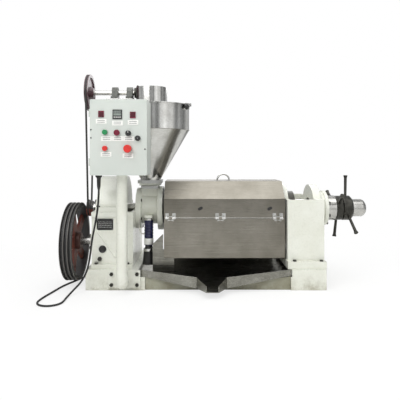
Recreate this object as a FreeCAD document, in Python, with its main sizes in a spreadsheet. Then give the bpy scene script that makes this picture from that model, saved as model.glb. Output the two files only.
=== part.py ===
"""Screw oil press with heated cage, gravity hopper and geared feeder.

Frame of the model, in millimetres: X runs along the main shaft from the drive
pulley (left) to the adjusting head (right), Y runs from the operator's side
to the back, Z is up.  The origin is the centre of the underside of the base.
"""
import FreeCAD, Part
import math
import os
import re
import Sketcher

SIZES = {
    # bed
    "base_length": 1366, "base_width": 540, "base_height": 115, "base_wall": 8,
    "base_left_length": 337, "base_right_length": 202,
    "beam_width": 70, "beam_height": 44, "beam_inset": 110, "back_beam_inset": 12,
    # main shaft line and the lengths of what it runs through
    "shaft_height": 437, "gearbox_inset": 23, "gearbox_length": 239,
    "throat_length": 162, "stand_length": 222, "stand_overhang": 6,
    # reduction gears
    "gear_module": 5, "gear_teeth": 70, "pinion_teeth": 21, "gear_width": 66,
    "pinion_width": 76, "input_offset": 138, "backlash": 0.15,
    # gearbox casting
    "gearbox_width": 440, "casting_wall": 14, "flange_thick": 28, "flange_reach": 10,
    "cover_length": 156, "cover_start": 22, "cover_clearance": 6, "cover_wall": 12,
    "gearbox_foot": 25, "bearing_cap_radius": 62, "bearing_cap_thick": 14,
    # shafts
    "main_shaft_radius": 30, "input_shaft_radius": 22, "feeder_shaft_radius": 15,
    "auger_shaft_radius": 13, "running_gap": 0.05,
    "nose_radius": 54, "nose_reach": 311,
    # drive pulley
    "pulley_radius": 228, "pulley_width": 66, "pulley_gap": 82, "pulley_rim": 26,
    "pulley_hub_radius": 50, "groove_count": 3, "groove_depth": 13, "groove_width": 17,
    "spoke_count": 5, "spoke_wide": 74, "spoke_narrow": 50, "spoke_thick": 16,
    # feeder drive
    "sheave_radius": 52, "feeder_pulley_radius": 113, "belt_width": 10, "belt_height": 8,
    "belt_reach": 62, "feeder_rise": 70, "sheave_width": 22, "belt_gap": 0.3,
    # bevel gears
    "bevel_module": 5, "bevel_pinion_teeth": 18, "bevel_gear_teeth": 34, "bevel_face": 24,
    "bevel_backlash": 0.25,
    # hopper and feeder
    "hopper_radius": 240, "hopper_neck_radius": 60, "hopper_bottom": 594,
    "hopper_cone_height": 308, "hopper_wall_height": 149, "sheet": 3, "hopper_flange": 145,
    "hopper_flange_thick": 19, "rim_radius": 6, "bridge_width": 90, "bridge_thick": 10,
    "guard_radius": 102, "guard_height": 101, "auger_radius": 44, "auger_pitch": 90,
    # throat
    "throat_left_radius": 126, "throat_right_radius": 135, "throat_flange_thick": 30,
    "throat_barrel_radius": 98, "neck_length": 112, "neck_width": 118, "throat_plate": 127,
    "throat_plate_thick": 14, "feed_bore": 48, "gate_thick": 5, "gate_width": 104,
    "gate_gap": 0.3, "gate_drop": 21, "gate_length": 150,
    "heater_forward": 120, "heater_top": 393,
    # press cage
    "cage_bore": 62, "cage_bars": 24, "cage_bar_depth": 18, "cage_ring_depth": 14,
    "cage_rings": 6, "cage_ring_width": 34, "worm_core": 40, "worm_radius": 58,
    "worm_pitch": 96, "worm_flight": 14,
    # hood
    "hood_left_gap": 15, "hood_right_gap": 6, "hood_half_width": 200, "hood_roof_half": 100,
    "hood_top": 609, "hood_shoulder": 511, "hood_hinge_height": 398, "hood_bottom": 166,
    "hood_sheet": 2.5, "hinge_pin": 4, "hinge_knuckle": 7, "hinge_leaf": 30,
    "hinge_length": 60, "bracket_width": 50, "bracket_thick": 6,
    # tray
    "tray_left_lap": 37, "tray_right_lap": 7, "tray_back": 192, "tray_end_reach": 260,
    "tray_mid_reach": 330, "spout_centre": 30, "spout_width": 184, "spout_mouth": 68,
    "spout_reach": 430, "tray_end_depth": 34, "tray_mid_bottom": 29, "tray_mid_top": 90,
    # right stand
    "stand_disc_radius": 157, "stand_disc_thick": 26, "stand_ring_radius": 146,
    "stand_ring_thick": 45, "stand_width": 440, "stand_wall": 16, "stand_saddle_top": 507,
    "stand_neck_radius": 100, "stand_neck_length": 38, "stand_foot": 42,
    "end_cover_radius": 107, "end_cover_thick": 23, "cake_ring_radius": 105,
    "cake_ring_length": 39,
    # adjusting gear
    "sleeve_radius": 65, "collar_radius": 77, "lock_nut_radius": 75, "lock_nut_width": 42, "head_radius": 76,
    "head_width": 62, "lever_reach": 188, "lock_lever_reach": 163, "lever_root": 22,
    "lever_tip": 8, "sleeve_show": 57,
    # control box and post
    "box_width": 300, "box_height": 400, "box_depth": 200, "box_inset": 45,
    "box_front": -460, "box_bottom": 659, "box_wall": 2, "door_thick": 20,
    "door_round": 8, "door_gap": 0.3, "knuckle": 5, "bezel_height": 3, "button_travel": 4,
    "post_radius": 30, "post_front": 360, "post_inset": 198,
    "post_elbow_height": 64, "post_flange_width": 180, "post_flange_height": 100,
    "post_flange_thick": 14,
    # fasteners
    "bolt_radius": 6, "bolt_head": 11, "bolt_head_height": 8, "bolt_depth": 22,
    "bolt_gap": 0.3,
    # supply cord
    "cord_radius": 5.5, "cord_coil_radius": 62,
}

# lengths and places that follow from the others, as formulas in the same sheet
DERIVED = {
    "gearbox_start": "-base_length / 2 + gearbox_inset",
    "cage_length": "base_length - gearbox_inset - gearbox_length - throat_length"
                   " - stand_length + stand_overhang",
    "belt_plane": "-base_length / 2 + gearbox_inset - belt_reach",
    "feeder_height": "hopper_bottom + hopper_flange_thick + hopper_cone_height"
                     " + hopper_wall_height + rim_radius + bridge_thick + feeder_rise",
    "hood_start": "-base_length / 2 + gearbox_inset + gearbox_length + throat_length"
                  " + hood_left_gap",
    "hood_length": "base_length - gearbox_inset - gearbox_length - throat_length"
                   " - stand_length + stand_overhang - hood_left_gap - hood_right_gap",
    "tray_start": "-base_length / 2 + base_left_length - tray_left_lap",
    "tray_length": "base_length - base_left_length - base_right_length + tray_left_lap"
                   " + tray_right_lap",
    "box_left": "-base_length / 2 + gearbox_inset + box_inset",
    "post_x": "-base_length / 2 + gearbox_inset + post_inset",
}

DOC = FreeCAD.newDocument("ScrewOilPress")
SHEET = DOC.addObject("Spreadsheet::Sheet", "Sizes")
VEC = FreeCAD.Vector

# the turn that points a piece's own Z axis along each direction
AXES = {
    "X": FreeCAD.Rotation(VEC(0, 1, 0), 90), "-X": FreeCAD.Rotation(VEC(0, 1, 0), -90),
    "Y": FreeCAD.Rotation(VEC(1, 0, 0), -90), "-Y": FreeCAD.Rotation(VEC(1, 0, 0), 90),
    "Z": FreeCAD.Rotation(), "-Z": FreeCAD.Rotation(VEC(1, 0, 0), 180),
}
# the turn that lays a sketch's own X and Y along the two other directions
PLANES = {
    "X": FreeCAD.Rotation(VEC(1, 1, 1), 120), "Y": FreeCAD.Rotation(VEC(1, 0, 0), 90),
    "Z": FreeCAD.Rotation(),
}

# places along the shaft line, worked out from the lengths in the sheet
THROAT_X = "(gearbox_start + gearbox_length)"
CAGE_X = f"({THROAT_X} + throat_length)"
STAND_X = f"({CAGE_X} + cage_length)"
STAND_END = f"({STAND_X} + stand_length)"
COVER_X = f"({STAND_END} + stand_neck_length)"
SLEEVE_X = f"({COVER_X} + end_cover_thick)"
LOCK_X = f"({SLEEVE_X} + sleeve_show)"
HEAD_X = f"({LOCK_X} + lock_nut_width)"
HOPPER_X = f"({THROAT_X} + throat_length / 2)"
GEAR_X = "(gearbox_start + cover_start + cover_length / 2)"
GEAR_CENTRES = "(gear_module * (gear_teeth + pinion_teeth) / 2)"
INPUT_Z = f"(shaft_height - sqrt({GEAR_CENTRES}^2 - input_offset^2))"
PULLEY_X = "(gearbox_start - pulley_gap - pulley_width)"
HOPPER_RIM = "(hopper_bottom + hopper_flange_thick + hopper_cone_height + hopper_wall_height)"
BRIDGE_TOP = f"({HOPPER_RIM} + rim_radius + bridge_thick)"


def fill_sheet():
    """Write every driving dimension into the spreadsheet under its own name."""
    for row, (name, size) in enumerate({**SIZES, **DERIVED}.items(), start=1):
        SHEET.set(f"A{row}", name)
        SHEET.set(f"B{row}", f"={size}")
        SHEET.setAlias(f"B{row}", name)
    DOC.recompute()


def formula(text):
    """Return an expression in which every size name points at the sheet."""
    known = {**SIZES, **DERIVED}
    return re.sub(r"[a-z]\w*", lambda word: "Sizes." + word[0] if word[0] in known else word[0],
                  str(text))


def number(text):
    """Return what a formula of the sizes comes to now."""
    return float(SHEET.evalExpression(formula(text)))


def bind(piece, **sizes):
    """Tie properties of a piece to formulas of the sheet."""
    for name, text in sizes.items():
        piece.setExpression(name, formula(text))
    return piece


def move(piece, place, turn=None):
    """Put a piece at three formulas, turned if need be."""
    if turn is not None:
        piece.Placement = FreeCAD.Placement(VEC(), turn)
    for name, text in zip("xyz", place):
        piece.setExpression("Placement.Base." + name, formula(text))
    return piece


# ---------------------------------------------------------------- basic forms
def block(name, size, corner):
    """Box with its lowest corner at a place."""
    piece = DOC.addObject("Part::Box", name)
    bind(piece, Length=size[0], Width=size[1], Height=size[2])
    return move(piece, corner)


def rod(name, radius, length, start, axis="X"):
    """Cylinder from a place along an axis."""
    piece = DOC.addObject("Part::Cylinder", name)
    bind(piece, Radius=radius, Height=length)
    return move(piece, start, AXES[axis])


def cone(name, radius, end_radius, length, start, axis="X"):
    """Cone from a place along an axis."""
    piece = DOC.addObject("Part::Cone", name)
    bind(piece, Radius1=radius, Radius2=end_radius, Height=length)
    return move(piece, start, AXES[axis])


def fuse(name, *pieces):
    """One solid of several."""
    piece = DOC.addObject("Part::MultiFuse", name)
    piece.Shapes = list(pieces)
    return piece


def wound(name, core, flight):
    """A core and the flight wound round it as one solid."""
    piece = DOC.addObject("Part::Fuse", name)
    piece.Base = core
    piece.Tool = flight
    piece.Refine = False
    return piece


def group(name, *pieces):
    """Separate solids kept together in one node."""
    piece = DOC.addObject("Part::Compound", name)
    piece.Links = list(pieces)
    return piece


def cut(name, base, *tools):
    """A solid less one or more others."""
    piece = DOC.addObject("Part::Cut", name)
    piece.Base = base
    piece.Tool = tools[0] if len(tools) == 1 else fuse(name + "_tools", *tools)
    return piece


def draw(sketch, outline):
    """Draw a closed outline in a sketch, each corner tied to two formulas."""
    corners = [(number(x), number(y)) for x, y in outline]
    count = len(corners)
    for index, (x, y) in enumerate(corners):
        far_x, far_y = corners[(index + 1) % count]
        sketch.addGeometry(Part.LineSegment(VEC(x, y, 0), VEC(far_x, far_y, 0)), False)
    for index in range(count):
        sketch.addConstraint(Sketcher.Constraint("Coincident", index, 2, (index + 1) % count, 1))
    for index, (texts, values) in enumerate(zip(outline, corners)):
        for kind, text, value in zip(("DistanceX", "DistanceY"), texts, values):
            row = sketch.addConstraint(Sketcher.Constraint(kind, -1, 1, index, 1, value))
            sketch.setExpression(f"Constraints[{row}]", formula(text))
    return sketch


def body_sketch(body, name, plane, outline):
    """Sketch an outline on one of a body's own origin planes."""
    sketch = body.newObject("Sketcher::SketchObject", name)
    face = next(item for item in body.Origin.OriginFeatures if item.Role == plane)
    sketch.AttachmentSupport = [(face, "")]
    sketch.MapMode = "FlatFace"
    return draw(sketch, outline)


def turned(name, outline, start, axis="X"):
    """Body turned on a lathe: the outline is (radius, distance along the axis)."""
    body = DOC.addObject("PartDesign::Body", name)
    sketch = body_sketch(body, name + "_outline", "XZ_Plane", outline)
    turn = body.newObject("PartDesign::Revolution", name + "_turned")
    turn.Profile = sketch
    turn.ReferenceAxis = (sketch, ["V_Axis"])
    turn.Angle = 360
    return move(body, start, AXES[axis])


def plate(name, outline, thickness, start, plane="X"):
    """Outline in the two other directions, given a thickness along one."""
    sketch = DOC.addObject("Sketcher::SketchObject", name + "_outline")
    draw(sketch, outline)
    piece = DOC.addObject("Part::Extrusion", name)
    piece.Base = sketch
    piece.DirMode = "Normal"
    piece.Solid = True
    bind(piece, LengthFwd=thickness)
    x, y, z = start
    if plane == "Y":
        y = f"{y} + {thickness}"
    move(sketch, (x, y, z), PLANES[plane])
    return piece


def section(name, outline, start, plane="X"):
    """One cross-section of a loft."""
    sketch = DOC.addObject("Sketcher::SketchObject", name)
    draw(sketch, outline)
    return move(sketch, start, PLANES[plane])


def loft(name, *sections):
    """Ruled solid through its cross-sections."""
    piece = DOC.addObject("Part::Loft", name)
    piece.Sections = list(sections)
    piece.Solid = True
    piece.Ruled = True
    return piece


def straight_edges(shape, direction):
    """Names of a shape's straight edges along one direction."""
    names = []
    for index, edge in enumerate(shape.Edges, start=1):
        if edge.Curve.TypeId != "Part::GeomLine":
            continue
        if edge.tangentAt(edge.FirstParameter).cross(direction).Length < 1e-6:
            names.append(f"Edge{index}")
    return names


def rounded_block(name, size, corner, radius, direction):
    """Box whose four edges along one direction are rounded."""
    body = DOC.addObject("PartDesign::Body", name)
    length, width, height = size
    outline = [(0, 0), (length, 0), (length, width), (0, width)]
    sketch = body_sketch(body, name + "_outline", "XY_Plane", outline)
    pad = body.newObject("PartDesign::Pad", name + "_pad")
    pad.Profile = sketch
    bind(pad, Length=height)
    DOC.recompute()
    fillet = body.newObject("PartDesign::Fillet", name + "_round")
    fillet.Base = (pad, straight_edges(pad.Shape, direction))
    bind(fillet, Radius=radius)
    return move(body, corner)


# ------------------------------------------------------------------ fasteners
def bolt(name, seat, axis):
    """Hexagon bolt with its head on a seat, pointing along an axis."""
    head = DOC.addObject("Part::Prism", name + "_head")
    head.Polygon = 6
    bind(head, Circumradius="bolt_head", Height="bolt_head_height")
    move(head, seat, AXES[axis])
    shank = rod(name + "_shank", "bolt_radius", "bolt_depth", seat, opposite(axis))
    return fuse(name, head, shank)


def bolt_hole(name, seat, axis):
    """What a bolt's shank takes out of the part it holds."""
    return rod(name, "bolt_radius + bolt_gap", "bolt_depth + bolt_gap", seat, opposite(axis))


def opposite(axis):
    """The same axis pointing the other way."""
    return axis[1:] if axis.startswith("-") else "-" + axis


def bolts(name, seats, axis):
    """A set of like bolts as one node."""
    return group(name, *[bolt(f"{name}_{row}", seat, axis) for row, seat in enumerate(seats)])


def bolt_holes(name, seats, axis):
    """The holes of a set of like bolts."""
    return fuse(name, *[bolt_hole(f"{name}_{row}", seat, axis) for row, seat in enumerate(seats)])


def ring_seats(x, radius, count, first=0, axis_z="shaft_height", axis_y="0"):
    """Seats spaced evenly round a shaft that runs along X."""
    seats = []
    for index in range(count):
        angle = first + 360 * index / count
        seats.append((x, f"{axis_y} + ({radius}) * cos({angle})",
                      f"{axis_z} + ({radius}) * sin({angle})"))
    return seats


# ----------------------------------------------------------------------- bed
def base_frame():
    """Two hollow end boxes joined by two low beams, welded in one."""
    half = "base_length / 2"
    boxes = []
    for side, start, length in (("left", f"-{half}", "base_left_length"),
                                ("right", f"{half} - base_right_length", "base_right_length")):
        outer = block(f"bed_{side}", (length, "base_width", "base_height"),
                      (start, "-base_width / 2", 0))
        inner = block(f"bed_{side}_inside",
                      (f"{length} - 2 * base_wall", "base_width - 2 * base_wall",
                       "base_height - base_wall"),
                      (f"{start} + base_wall", "-base_width / 2 + base_wall", 0))
        boxes.append(cut(f"bed_{side}_box", outer, inner))
    beams = []
    for side, y in (("front", "-base_width / 2 + beam_inset"),
                    ("back", "base_width / 2 - back_beam_inset - beam_width")):
        beams.append(block(f"bed_{side}_beam",
                           ("base_length - base_left_length - base_right_length",
                            "beam_width", "beam_height"),
                           (f"-{half} + base_left_length", y, 0)))
    recess = block("bed_recess", ("tray_length + 2", "base_width + 2", "tray_end_depth + 20"),
                   ("tray_start - 1", "-base_width / 2 - 1", TRAY_LEDGE))
    ledges = []
    for side, start, end in (("left", "tray_start - base_wall - 1",
                              f"-{half} + base_left_length"),
                             ("right", f"{half} - base_right_length",
                              "tray_start + tray_length + base_wall + 1")):
        ledges.append(block(f"bed_{side}_ledge", (f"{end} - ({start})", "base_width",
                                                  "base_wall"),
                            (start, "-base_width / 2", f"{TRAY_LEDGE} - base_wall")))
    frame = cut("bed_weldment", fuse("bed_boxes", *boxes), recess)
    return cut("base_frame", fuse("bed_frame", frame, *ledges, *beams),
               bolt_holes("bed_post_holes", POST_SEATS, "-Y"))


def tray_floor(x, y):
    """Height of the tray's underside at a place left of the spout."""
    share = f"(({x} - tray_start) / (spout_centre - spout_width / 2 - tray_start))"
    end = "(base_height - tray_end_depth)"
    low = f"({end} - ({end} - tray_mid_bottom) * {share})"
    reach = f"(tray_end_reach + (tray_mid_reach - tray_end_reach) * {share})"
    back = "(base_height - 24)"
    return f"({low} + ({back} - {low}) * ({y} + {reach}) / (tray_back + {reach}))"


TRAY_LEDGE = (tray_floor("(-base_length / 2 + base_left_length)", "(-base_width / 2)")
              + " - 0.3")


# ------------------------------------------------------------------- gearbox
GEARBOX_SEATS = [
    (x, y, "base_height + gearbox_foot")
    for x in ("gearbox_start + 30", f"{THROAT_X} - 30")
    for y in ("-gearbox_width / 2 - 14", "gearbox_width / 2 + 14")
]
JOINT_SEATS = [
    (x, y, "shaft_height + flange_thick")
    for x in ("gearbox_start + cover_start + 14", "gearbox_start + cover_start + cover_length - 14")
    for y in ("-gearbox_width / 2 + 8", "gearbox_width / 2 - 8")
]
INPUT_CAP_SEATS = ring_seats("gearbox_start - bearing_cap_thick", "bearing_cap_radius - 13", 4, 45,
                             INPUT_Z, "-input_offset")
MAIN_CAP_SEATS = ring_seats("gearbox_start - bearing_cap_thick", "bearing_cap_radius - 13", 6)


def gearbox_lower():
    """Lower half of the gear housing, open at the shaft plane."""
    height = "shaft_height - base_height"
    half = "gearbox_width / 2"
    outer = block("housing_block", ("gearbox_length", "gearbox_width", height),
                  ("gearbox_start", f"-{half}", "base_height"))
    lip = block("housing_lip", ("gearbox_length", "gearbox_width + 2 * flange_reach",
                                "flange_thick"),
                ("gearbox_start", f"-{half} - flange_reach", "shaft_height - flange_thick"))
    foot = block("housing_foot", ("gearbox_length", "gearbox_width + 50", "gearbox_foot"),
                 ("gearbox_start", f"-{half} - 25", "base_height"))
    inner = block("housing_inside",
                  ("gearbox_length - 2 * casting_wall", "gearbox_width - 2 * casting_wall",
                   f"{height} - casting_wall"),
                  ("gearbox_start + casting_wall", f"-{half} + casting_wall",
                   "base_height + casting_wall"))
    casting = fuse("housing_casting", outer, lip, foot)
    return cut("gearbox_lower", casting, inner, *shaft_bores("lower"),
               bolt_holes("foot_holes", GEARBOX_SEATS, "Z"),
               bolt_holes("input_cap_holes", INPUT_CAP_SEATS, "-X"),
               bolt_holes("main_cap_holes_lower", MAIN_CAP_SEATS, "-X"),
               throat_bolt_holes("throat_holes_lower"))


def shaft_bores(half):
    """Holes for the two shafts through the housing."""
    main = rod(f"main_bore_{half}", "main_shaft_radius + running_gap", "gearbox_length + 2",
               ("gearbox_start - 1", 0, "shaft_height"))
    drive = rod(f"input_bore_{half}", "input_shaft_radius + running_gap",
                "gearbox_length - casting_wall",
                ("gearbox_start - 1", "-input_offset", INPUT_Z))
    return main, drive


def gearbox_upper():
    """Upper half of the housing: a round cover over the large gear."""
    inner_radius = "(gear_module * (gear_teeth / 2 + 1) + cover_clearance)"
    outer_radius = f"({inner_radius} + cover_wall)"
    start = "gearbox_start + cover_start"
    drum = rod("cover_drum", outer_radius, "cover_length", (start, 0, "shaft_height"))
    flange = block("cover_flange",
                   ("cover_length", "gearbox_width + 2 * flange_reach - 16", "flange_thick"),
                   (start, "-gearbox_width / 2 - flange_reach + 8", "shaft_height"))
    top = block("cover_half", ("cover_length + 2", "gearbox_width * 2", "gearbox_width"),
                (f"{start} - 1", "-gearbox_width", "shaft_height"))
    half_drum = DOC.addObject("Part::Common", "cover_half_drum")
    half_drum.Base = drum
    half_drum.Tool = top
    boss = DOC.addObject("Part::Common", "cover_boss")
    boss.Base = rod("cover_boss_round", "bearing_cap_radius", "cover_start",
                    ("gearbox_start", 0, "shaft_height"))
    boss.Tool = block("cover_boss_half", ("cover_start", "gearbox_width", "gearbox_width"),
                      ("gearbox_start", "-gearbox_width / 2", "shaft_height"))
    inner = rod("cover_inside", inner_radius, "cover_length - 2 * casting_wall",
                (f"{start} + casting_wall", 0, "shaft_height"))
    casting = fuse("cover_casting", half_drum, flange, boss)
    return cut("gearbox_upper", casting, inner,
               rod("main_bore_upper", "main_shaft_radius + running_gap", "gearbox_length",
                   ("gearbox_start - 1", 0, "shaft_height")),
               bolt_holes("joint_holes", JOINT_SEATS, "Z"),
               bolt_holes("main_cap_holes_upper", MAIN_CAP_SEATS, "-X"))


def bearing_cap(name, y, z, radius, seats):
    """Round cap that closes a bearing seat on the housing's left wall."""
    cap = turned(f"{name}_disc", [("0", 0), ("bearing_cap_radius", 0),
                                  ("bearing_cap_radius", "bearing_cap_thick - 3"),
                                  ("bearing_cap_radius - 3", "bearing_cap_thick"),
                                  ("0", "bearing_cap_thick")],
                 ("gearbox_start", y, z), "-X")
    hole = rod(f"{name}_hole", f"{radius} + running_gap", "bearing_cap_thick + 2",
               ("gearbox_start - bearing_cap_thick - 1", y, z))
    return cut(name, cap, hole, bolt_holes(f"{name}_holes", seats, "-X"))


def sight_glass():
    """Oil level window on the front of the housing."""
    return turned("oil_sight_glass", [(0, 0), (20, 0), (20, 5), (15, 5), (13, 3), (0, 3)],
                  ("gearbox_start + 63", "-gearbox_width / 2", "shaft_height - 214"), "-Y")


def drain_plug():
    """Hexagon plug that lets the gear oil out."""
    plug = DOC.addObject("Part::Prism", "oil_drain_plug")
    plug.Polygon = 6
    bind(plug, Circumradius=13, Height=10)
    return move(plug, ("gearbox_start + 47", "-gearbox_width / 2", "base_height + 52"), AXES["-Y"])


# --------------------------------------------------------------------- gears
def spur_gear(name, teeth, width, bore, start, first_gap):
    """Straight-toothed gear: a turned blank with one gap cut and repeated."""
    pitch = f"(gear_module * {teeth} / 2)"
    body = DOC.addObject("PartDesign::Body", name)
    outline = [(bore, 0), (f"{pitch} + gear_module", 0), (f"{pitch} + gear_module", width),
               (bore, width)]
    sketch = body_sketch(body, name + "_outline", "XZ_Plane", outline)
    blank = body.newObject("PartDesign::Revolution", name + "_blank")
    blank.Profile = sketch
    blank.ReferenceAxis = (sketch, ["V_Axis"])
    blank.Angle = 360
    gap = body_sketch(body, name + "_gap", "XY_Plane", tooth_gap(pitch, teeth))
    gap.AttachmentOffset = FreeCAD.Placement(VEC(), FreeCAD.Rotation(VEC(0, 0, 1), 1))
    gap.setExpression("AttachmentOffset.Rotation.Angle", formula(first_gap))
    DOC.recompute()
    pocket = body.newObject("PartDesign::Pocket", name + "_pocket")
    pocket.Profile = gap
    pocket.Type = "ThroughAll"
    pocket.Midplane = True
    pattern = body.newObject("PartDesign::PolarPattern", name + "_teeth")
    pattern.Originals = [pocket]
    pattern.Axis = (gap, ["N_Axis"])
    pattern.Angle = 360
    bind(pattern, Occurrences=teeth)
    body.Tip = pattern
    return move(body, start, AXES["X"])


def tooth_gap(pitch, teeth):
    """Gap between two teeth, its involute flanks as two straight lines each."""
    above = f"(tan(20) + 4.8 / {teeth})"
    below = f"(tan(20) - 2.3 / {teeth})"
    middle = f"(gear_module * {math.pi / 4} + backlash)"
    root = f"({middle} - 1.25 * gear_module * {below})"
    mouth = f"({middle} + 1.2 * gear_module * {above})"
    return [(f"{pitch} - 1.25 * gear_module", f"-{root}"), (pitch, f"-{middle}"),
            (f"{pitch} + 1.2 * gear_module", f"-{mouth}"),
            (f"{pitch} + 1.2 * gear_module", mouth), (pitch, middle),
            (f"{pitch} - 1.25 * gear_module", root)]


MESH_ANGLE = f"(asin(input_offset / {GEAR_CENTRES}) / 1deg)"


def main_gear():
    """Large gear on the main shaft."""
    return spur_gear("main_gear", "gear_teeth", "gear_width", "main_shaft_radius",
                     (f"{GEAR_X} - gear_width / 2", 0, "shaft_height"),
                     f"180 / gear_teeth - {MESH_ANGLE}")


def input_pinion():
    """Small gear on the input shaft."""
    return spur_gear("input_pinion", "pinion_teeth", "pinion_width", "input_shaft_radius",
                     (f"{GEAR_X} - pinion_width / 2", "-input_offset", INPUT_Z),
                     f"180 - {MESH_ANGLE}")


# -------------------------------------------------------------- rotating line
def worm_shaft():
    """Main shaft, thin through the gearbox and thick where the nose shows."""
    start = "belt_plane - sheave_width / 2 - 6"
    cage = f"{STAND_X} - ({start})"
    end = f"{STAND_END} + nose_reach - ({start})"
    outline = [(0, 0), ("main_shaft_radius - 5", 0), ("main_shaft_radius - 5", 12),
               ("main_shaft_radius", 12), ("main_shaft_radius", cage),
               ("nose_radius", f"{cage} + 20"),
               ("nose_radius", f"{end} - 26"), ("nose_radius - 6", f"{end} - 14"),
               ("nose_radius - 18", f"{end} - 4"), ("nose_radius - 34", end), (0, end)]
    return turned("worm_shaft", outline, (start, 0, "shaft_height"))


def press_worm():
    """Worm sleeve on the shaft, whose flight carries the seed through the cage."""
    start = f"{THROAT_X} + 6"
    core = turned("worm_sleeve", [("main_shaft_radius", 0), ("worm_core", 0),
                                  ("worm_core", "throat_length + cage_length - 12"),
                                  ("main_shaft_radius", "throat_length + cage_length - 12")],
                  (start, 0, "shaft_height"))
    helix = DOC.addObject("Part::Helix", "worm_line")
    bind(helix, Pitch="worm_pitch", Radius="worm_core",
         Height="cage_length + throat_length - 2 * worm_flight - 24")
    move(helix, (f"{start} + worm_flight", 0, "shaft_height"), AXES["X"])
    half = "worm_flight / 2"
    flight = section("worm_flight_outline",
                     [("worm_core - 2", f"-{half}"), ("worm_radius", f"-{half} + 3"),
                      ("worm_radius", f"{half} - 3"), ("worm_core - 2", half)],
                     (0, 0, 0), "Z")
    flight.Placement = FreeCAD.Placement(VEC(), AXES["X"] * AXES["-Y"])
    move(flight, (f"{start} + worm_flight", 0, "shaft_height"))
    return wound("press_worm", core, swept("worm_thread", flight, helix))


def swept(name, outline, line):
    """Solid made by one cross-section that follows a line."""
    piece = DOC.addObject("Part::Sweep", name)
    piece.Sections = [outline]
    piece.Spine = line
    piece.Solid = True
    piece.Frenet = True
    return piece


# ------------------------------------------------------- driven by the motor
def input_shaft():
    """Shaft that carries the drive pulley outside and the pinion inside."""
    start = f"({PULLEY_X} - 14)"
    end = f"({THROAT_X} - casting_wall - 1)"
    length = f"({end} - {start})"
    outline = [(0, 0), ("input_shaft_radius - 2", 0), ("input_shaft_radius", 2),
               ("input_shaft_radius", length), (0, length)]
    return turned("input_shaft", outline, (start, "-input_offset", INPUT_Z))


def drive_pulley():
    """Spoked belt pulley cast in one piece, with V grooves round the rim."""
    rim_inner = "(pulley_radius - pulley_rim)"
    profile = [(rim_inner, 0), ("pulley_radius", 0)]
    pitch = "(pulley_width / groove_count)"
    for row in range(SIZES["groove_count"]):
        middle = f"({row} + 0.5) * {pitch}"
        profile += [("pulley_radius", f"{middle} - groove_width / 2"),
                    ("pulley_radius - groove_depth", f"{middle} - groove_width / 4"),
                    ("pulley_radius - groove_depth", f"{middle} + groove_width / 4"),
                    ("pulley_radius", f"{middle} + groove_width / 2")]
    profile += [("pulley_radius", "pulley_width"), (rim_inner, "pulley_width")]
    place = (PULLEY_X, "-input_offset", INPUT_Z)
    rim = turned("pulley_rim", profile, place)
    hub = turned("pulley_hub", [("input_shaft_radius", -4), ("pulley_hub_radius - 6", -4),
                                ("pulley_hub_radius", 4), ("pulley_hub_radius", "pulley_width - 4"),
                                ("pulley_hub_radius - 6", "pulley_width + 4"),
                                ("input_shaft_radius", "pulley_width + 4")], place)
    spokes = [pulley_spoke(row) for row in range(SIZES["spoke_count"])]
    return fuse("drive_pulley", rim, hub, *spokes)


def pulley_spoke(row):
    """One flat spoke, wider at the hub than at the rim."""
    ends = []
    for name, width, height in (("root", "spoke_wide", "pulley_hub_radius - 12"),
                                ("end", "spoke_narrow", "pulley_radius - pulley_rim + 3")):
        half = f"{width} / 2"
        thick = "spoke_thick / 2"
        ends.append(section(f"spoke_{row}_{name}",
                            [(f"-{thick}", f"-{half}"), (thick, f"-{half}"),
                             (thick, half), (f"-{thick}", half)], (0, 0, height), "Z"))
    spoke = loft(f"spoke_{row}", *ends)
    spoke.Placement = FreeCAD.Placement(VEC(), FreeCAD.Rotation(VEC(1, 0, 0), 1))
    spoke.setExpression("Placement.Rotation.Angle", formula(f"90 + {row} * 360 / spoke_count"))
    return move(spoke, (f"{PULLEY_X} + pulley_width / 2", "-input_offset", INPUT_Z))


# --------------------------------------------------------------- feeder drive
def grooved_sheave(name, radius, bore, height, hub):
    """Small belt wheel with one square-bottomed groove."""
    groove = f"({radius} - belt_height - belt_gap)"
    half = "(belt_width / 2 + belt_gap)"
    outline = [(bore, 0), (radius, 0), (radius, f"sheave_width / 2 - {half}"),
               (groove, f"sheave_width / 2 - {half}"), (groove, f"sheave_width / 2 + {half}"),
               (radius, f"sheave_width / 2 + {half}"), (radius, "sheave_width"),
               (f"{bore} + {hub}", "sheave_width"), (f"{bore} + {hub}", "sheave_width + 14"),
               (bore, "sheave_width + 14")]
    return turned(name, outline, ("belt_plane - sheave_width / 2", 0, height))


def feeder_pulley():
    """Dished wheel that turns the feeder's cross shaft."""
    groove = "(feeder_pulley_radius - belt_height - belt_gap)"
    half = "(belt_width / 2 + belt_gap)"
    middle = "sheave_width / 2"
    outline = [("feeder_shaft_radius", 0), (34, 0), (40, 8), ("feeder_pulley_radius - 24", 8),
               ("feeder_pulley_radius - 18", 0), ("feeder_pulley_radius", 0),
               ("feeder_pulley_radius", f"{middle} - {half}"), (groove, f"{middle} - {half}"),
               (groove, f"{middle} + {half}"), ("feeder_pulley_radius", f"{middle} + {half}"),
               ("feeder_pulley_radius", "sheave_width"),
               ("feeder_pulley_radius - 18", "sheave_width"), ("feeder_pulley_radius - 24", 14),
               (40, 14), (30, "sheave_width + 16"), ("feeder_shaft_radius", "sheave_width + 16")]
    return turned("feeder_pulley", outline, ("belt_plane - sheave_width / 2", 0, "feeder_height"))


def feeder_belt():
    """Endless belt between the shaft's sheave and the feeder pulley."""
    outer = belt_hull("belt_outer", "0", "belt_width", "-belt_width / 2")
    inner = belt_hull("belt_inner", "belt_height", "belt_width + 2", "-belt_width / 2 - 1")
    return cut("feeder_belt", outer, inner)


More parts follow.
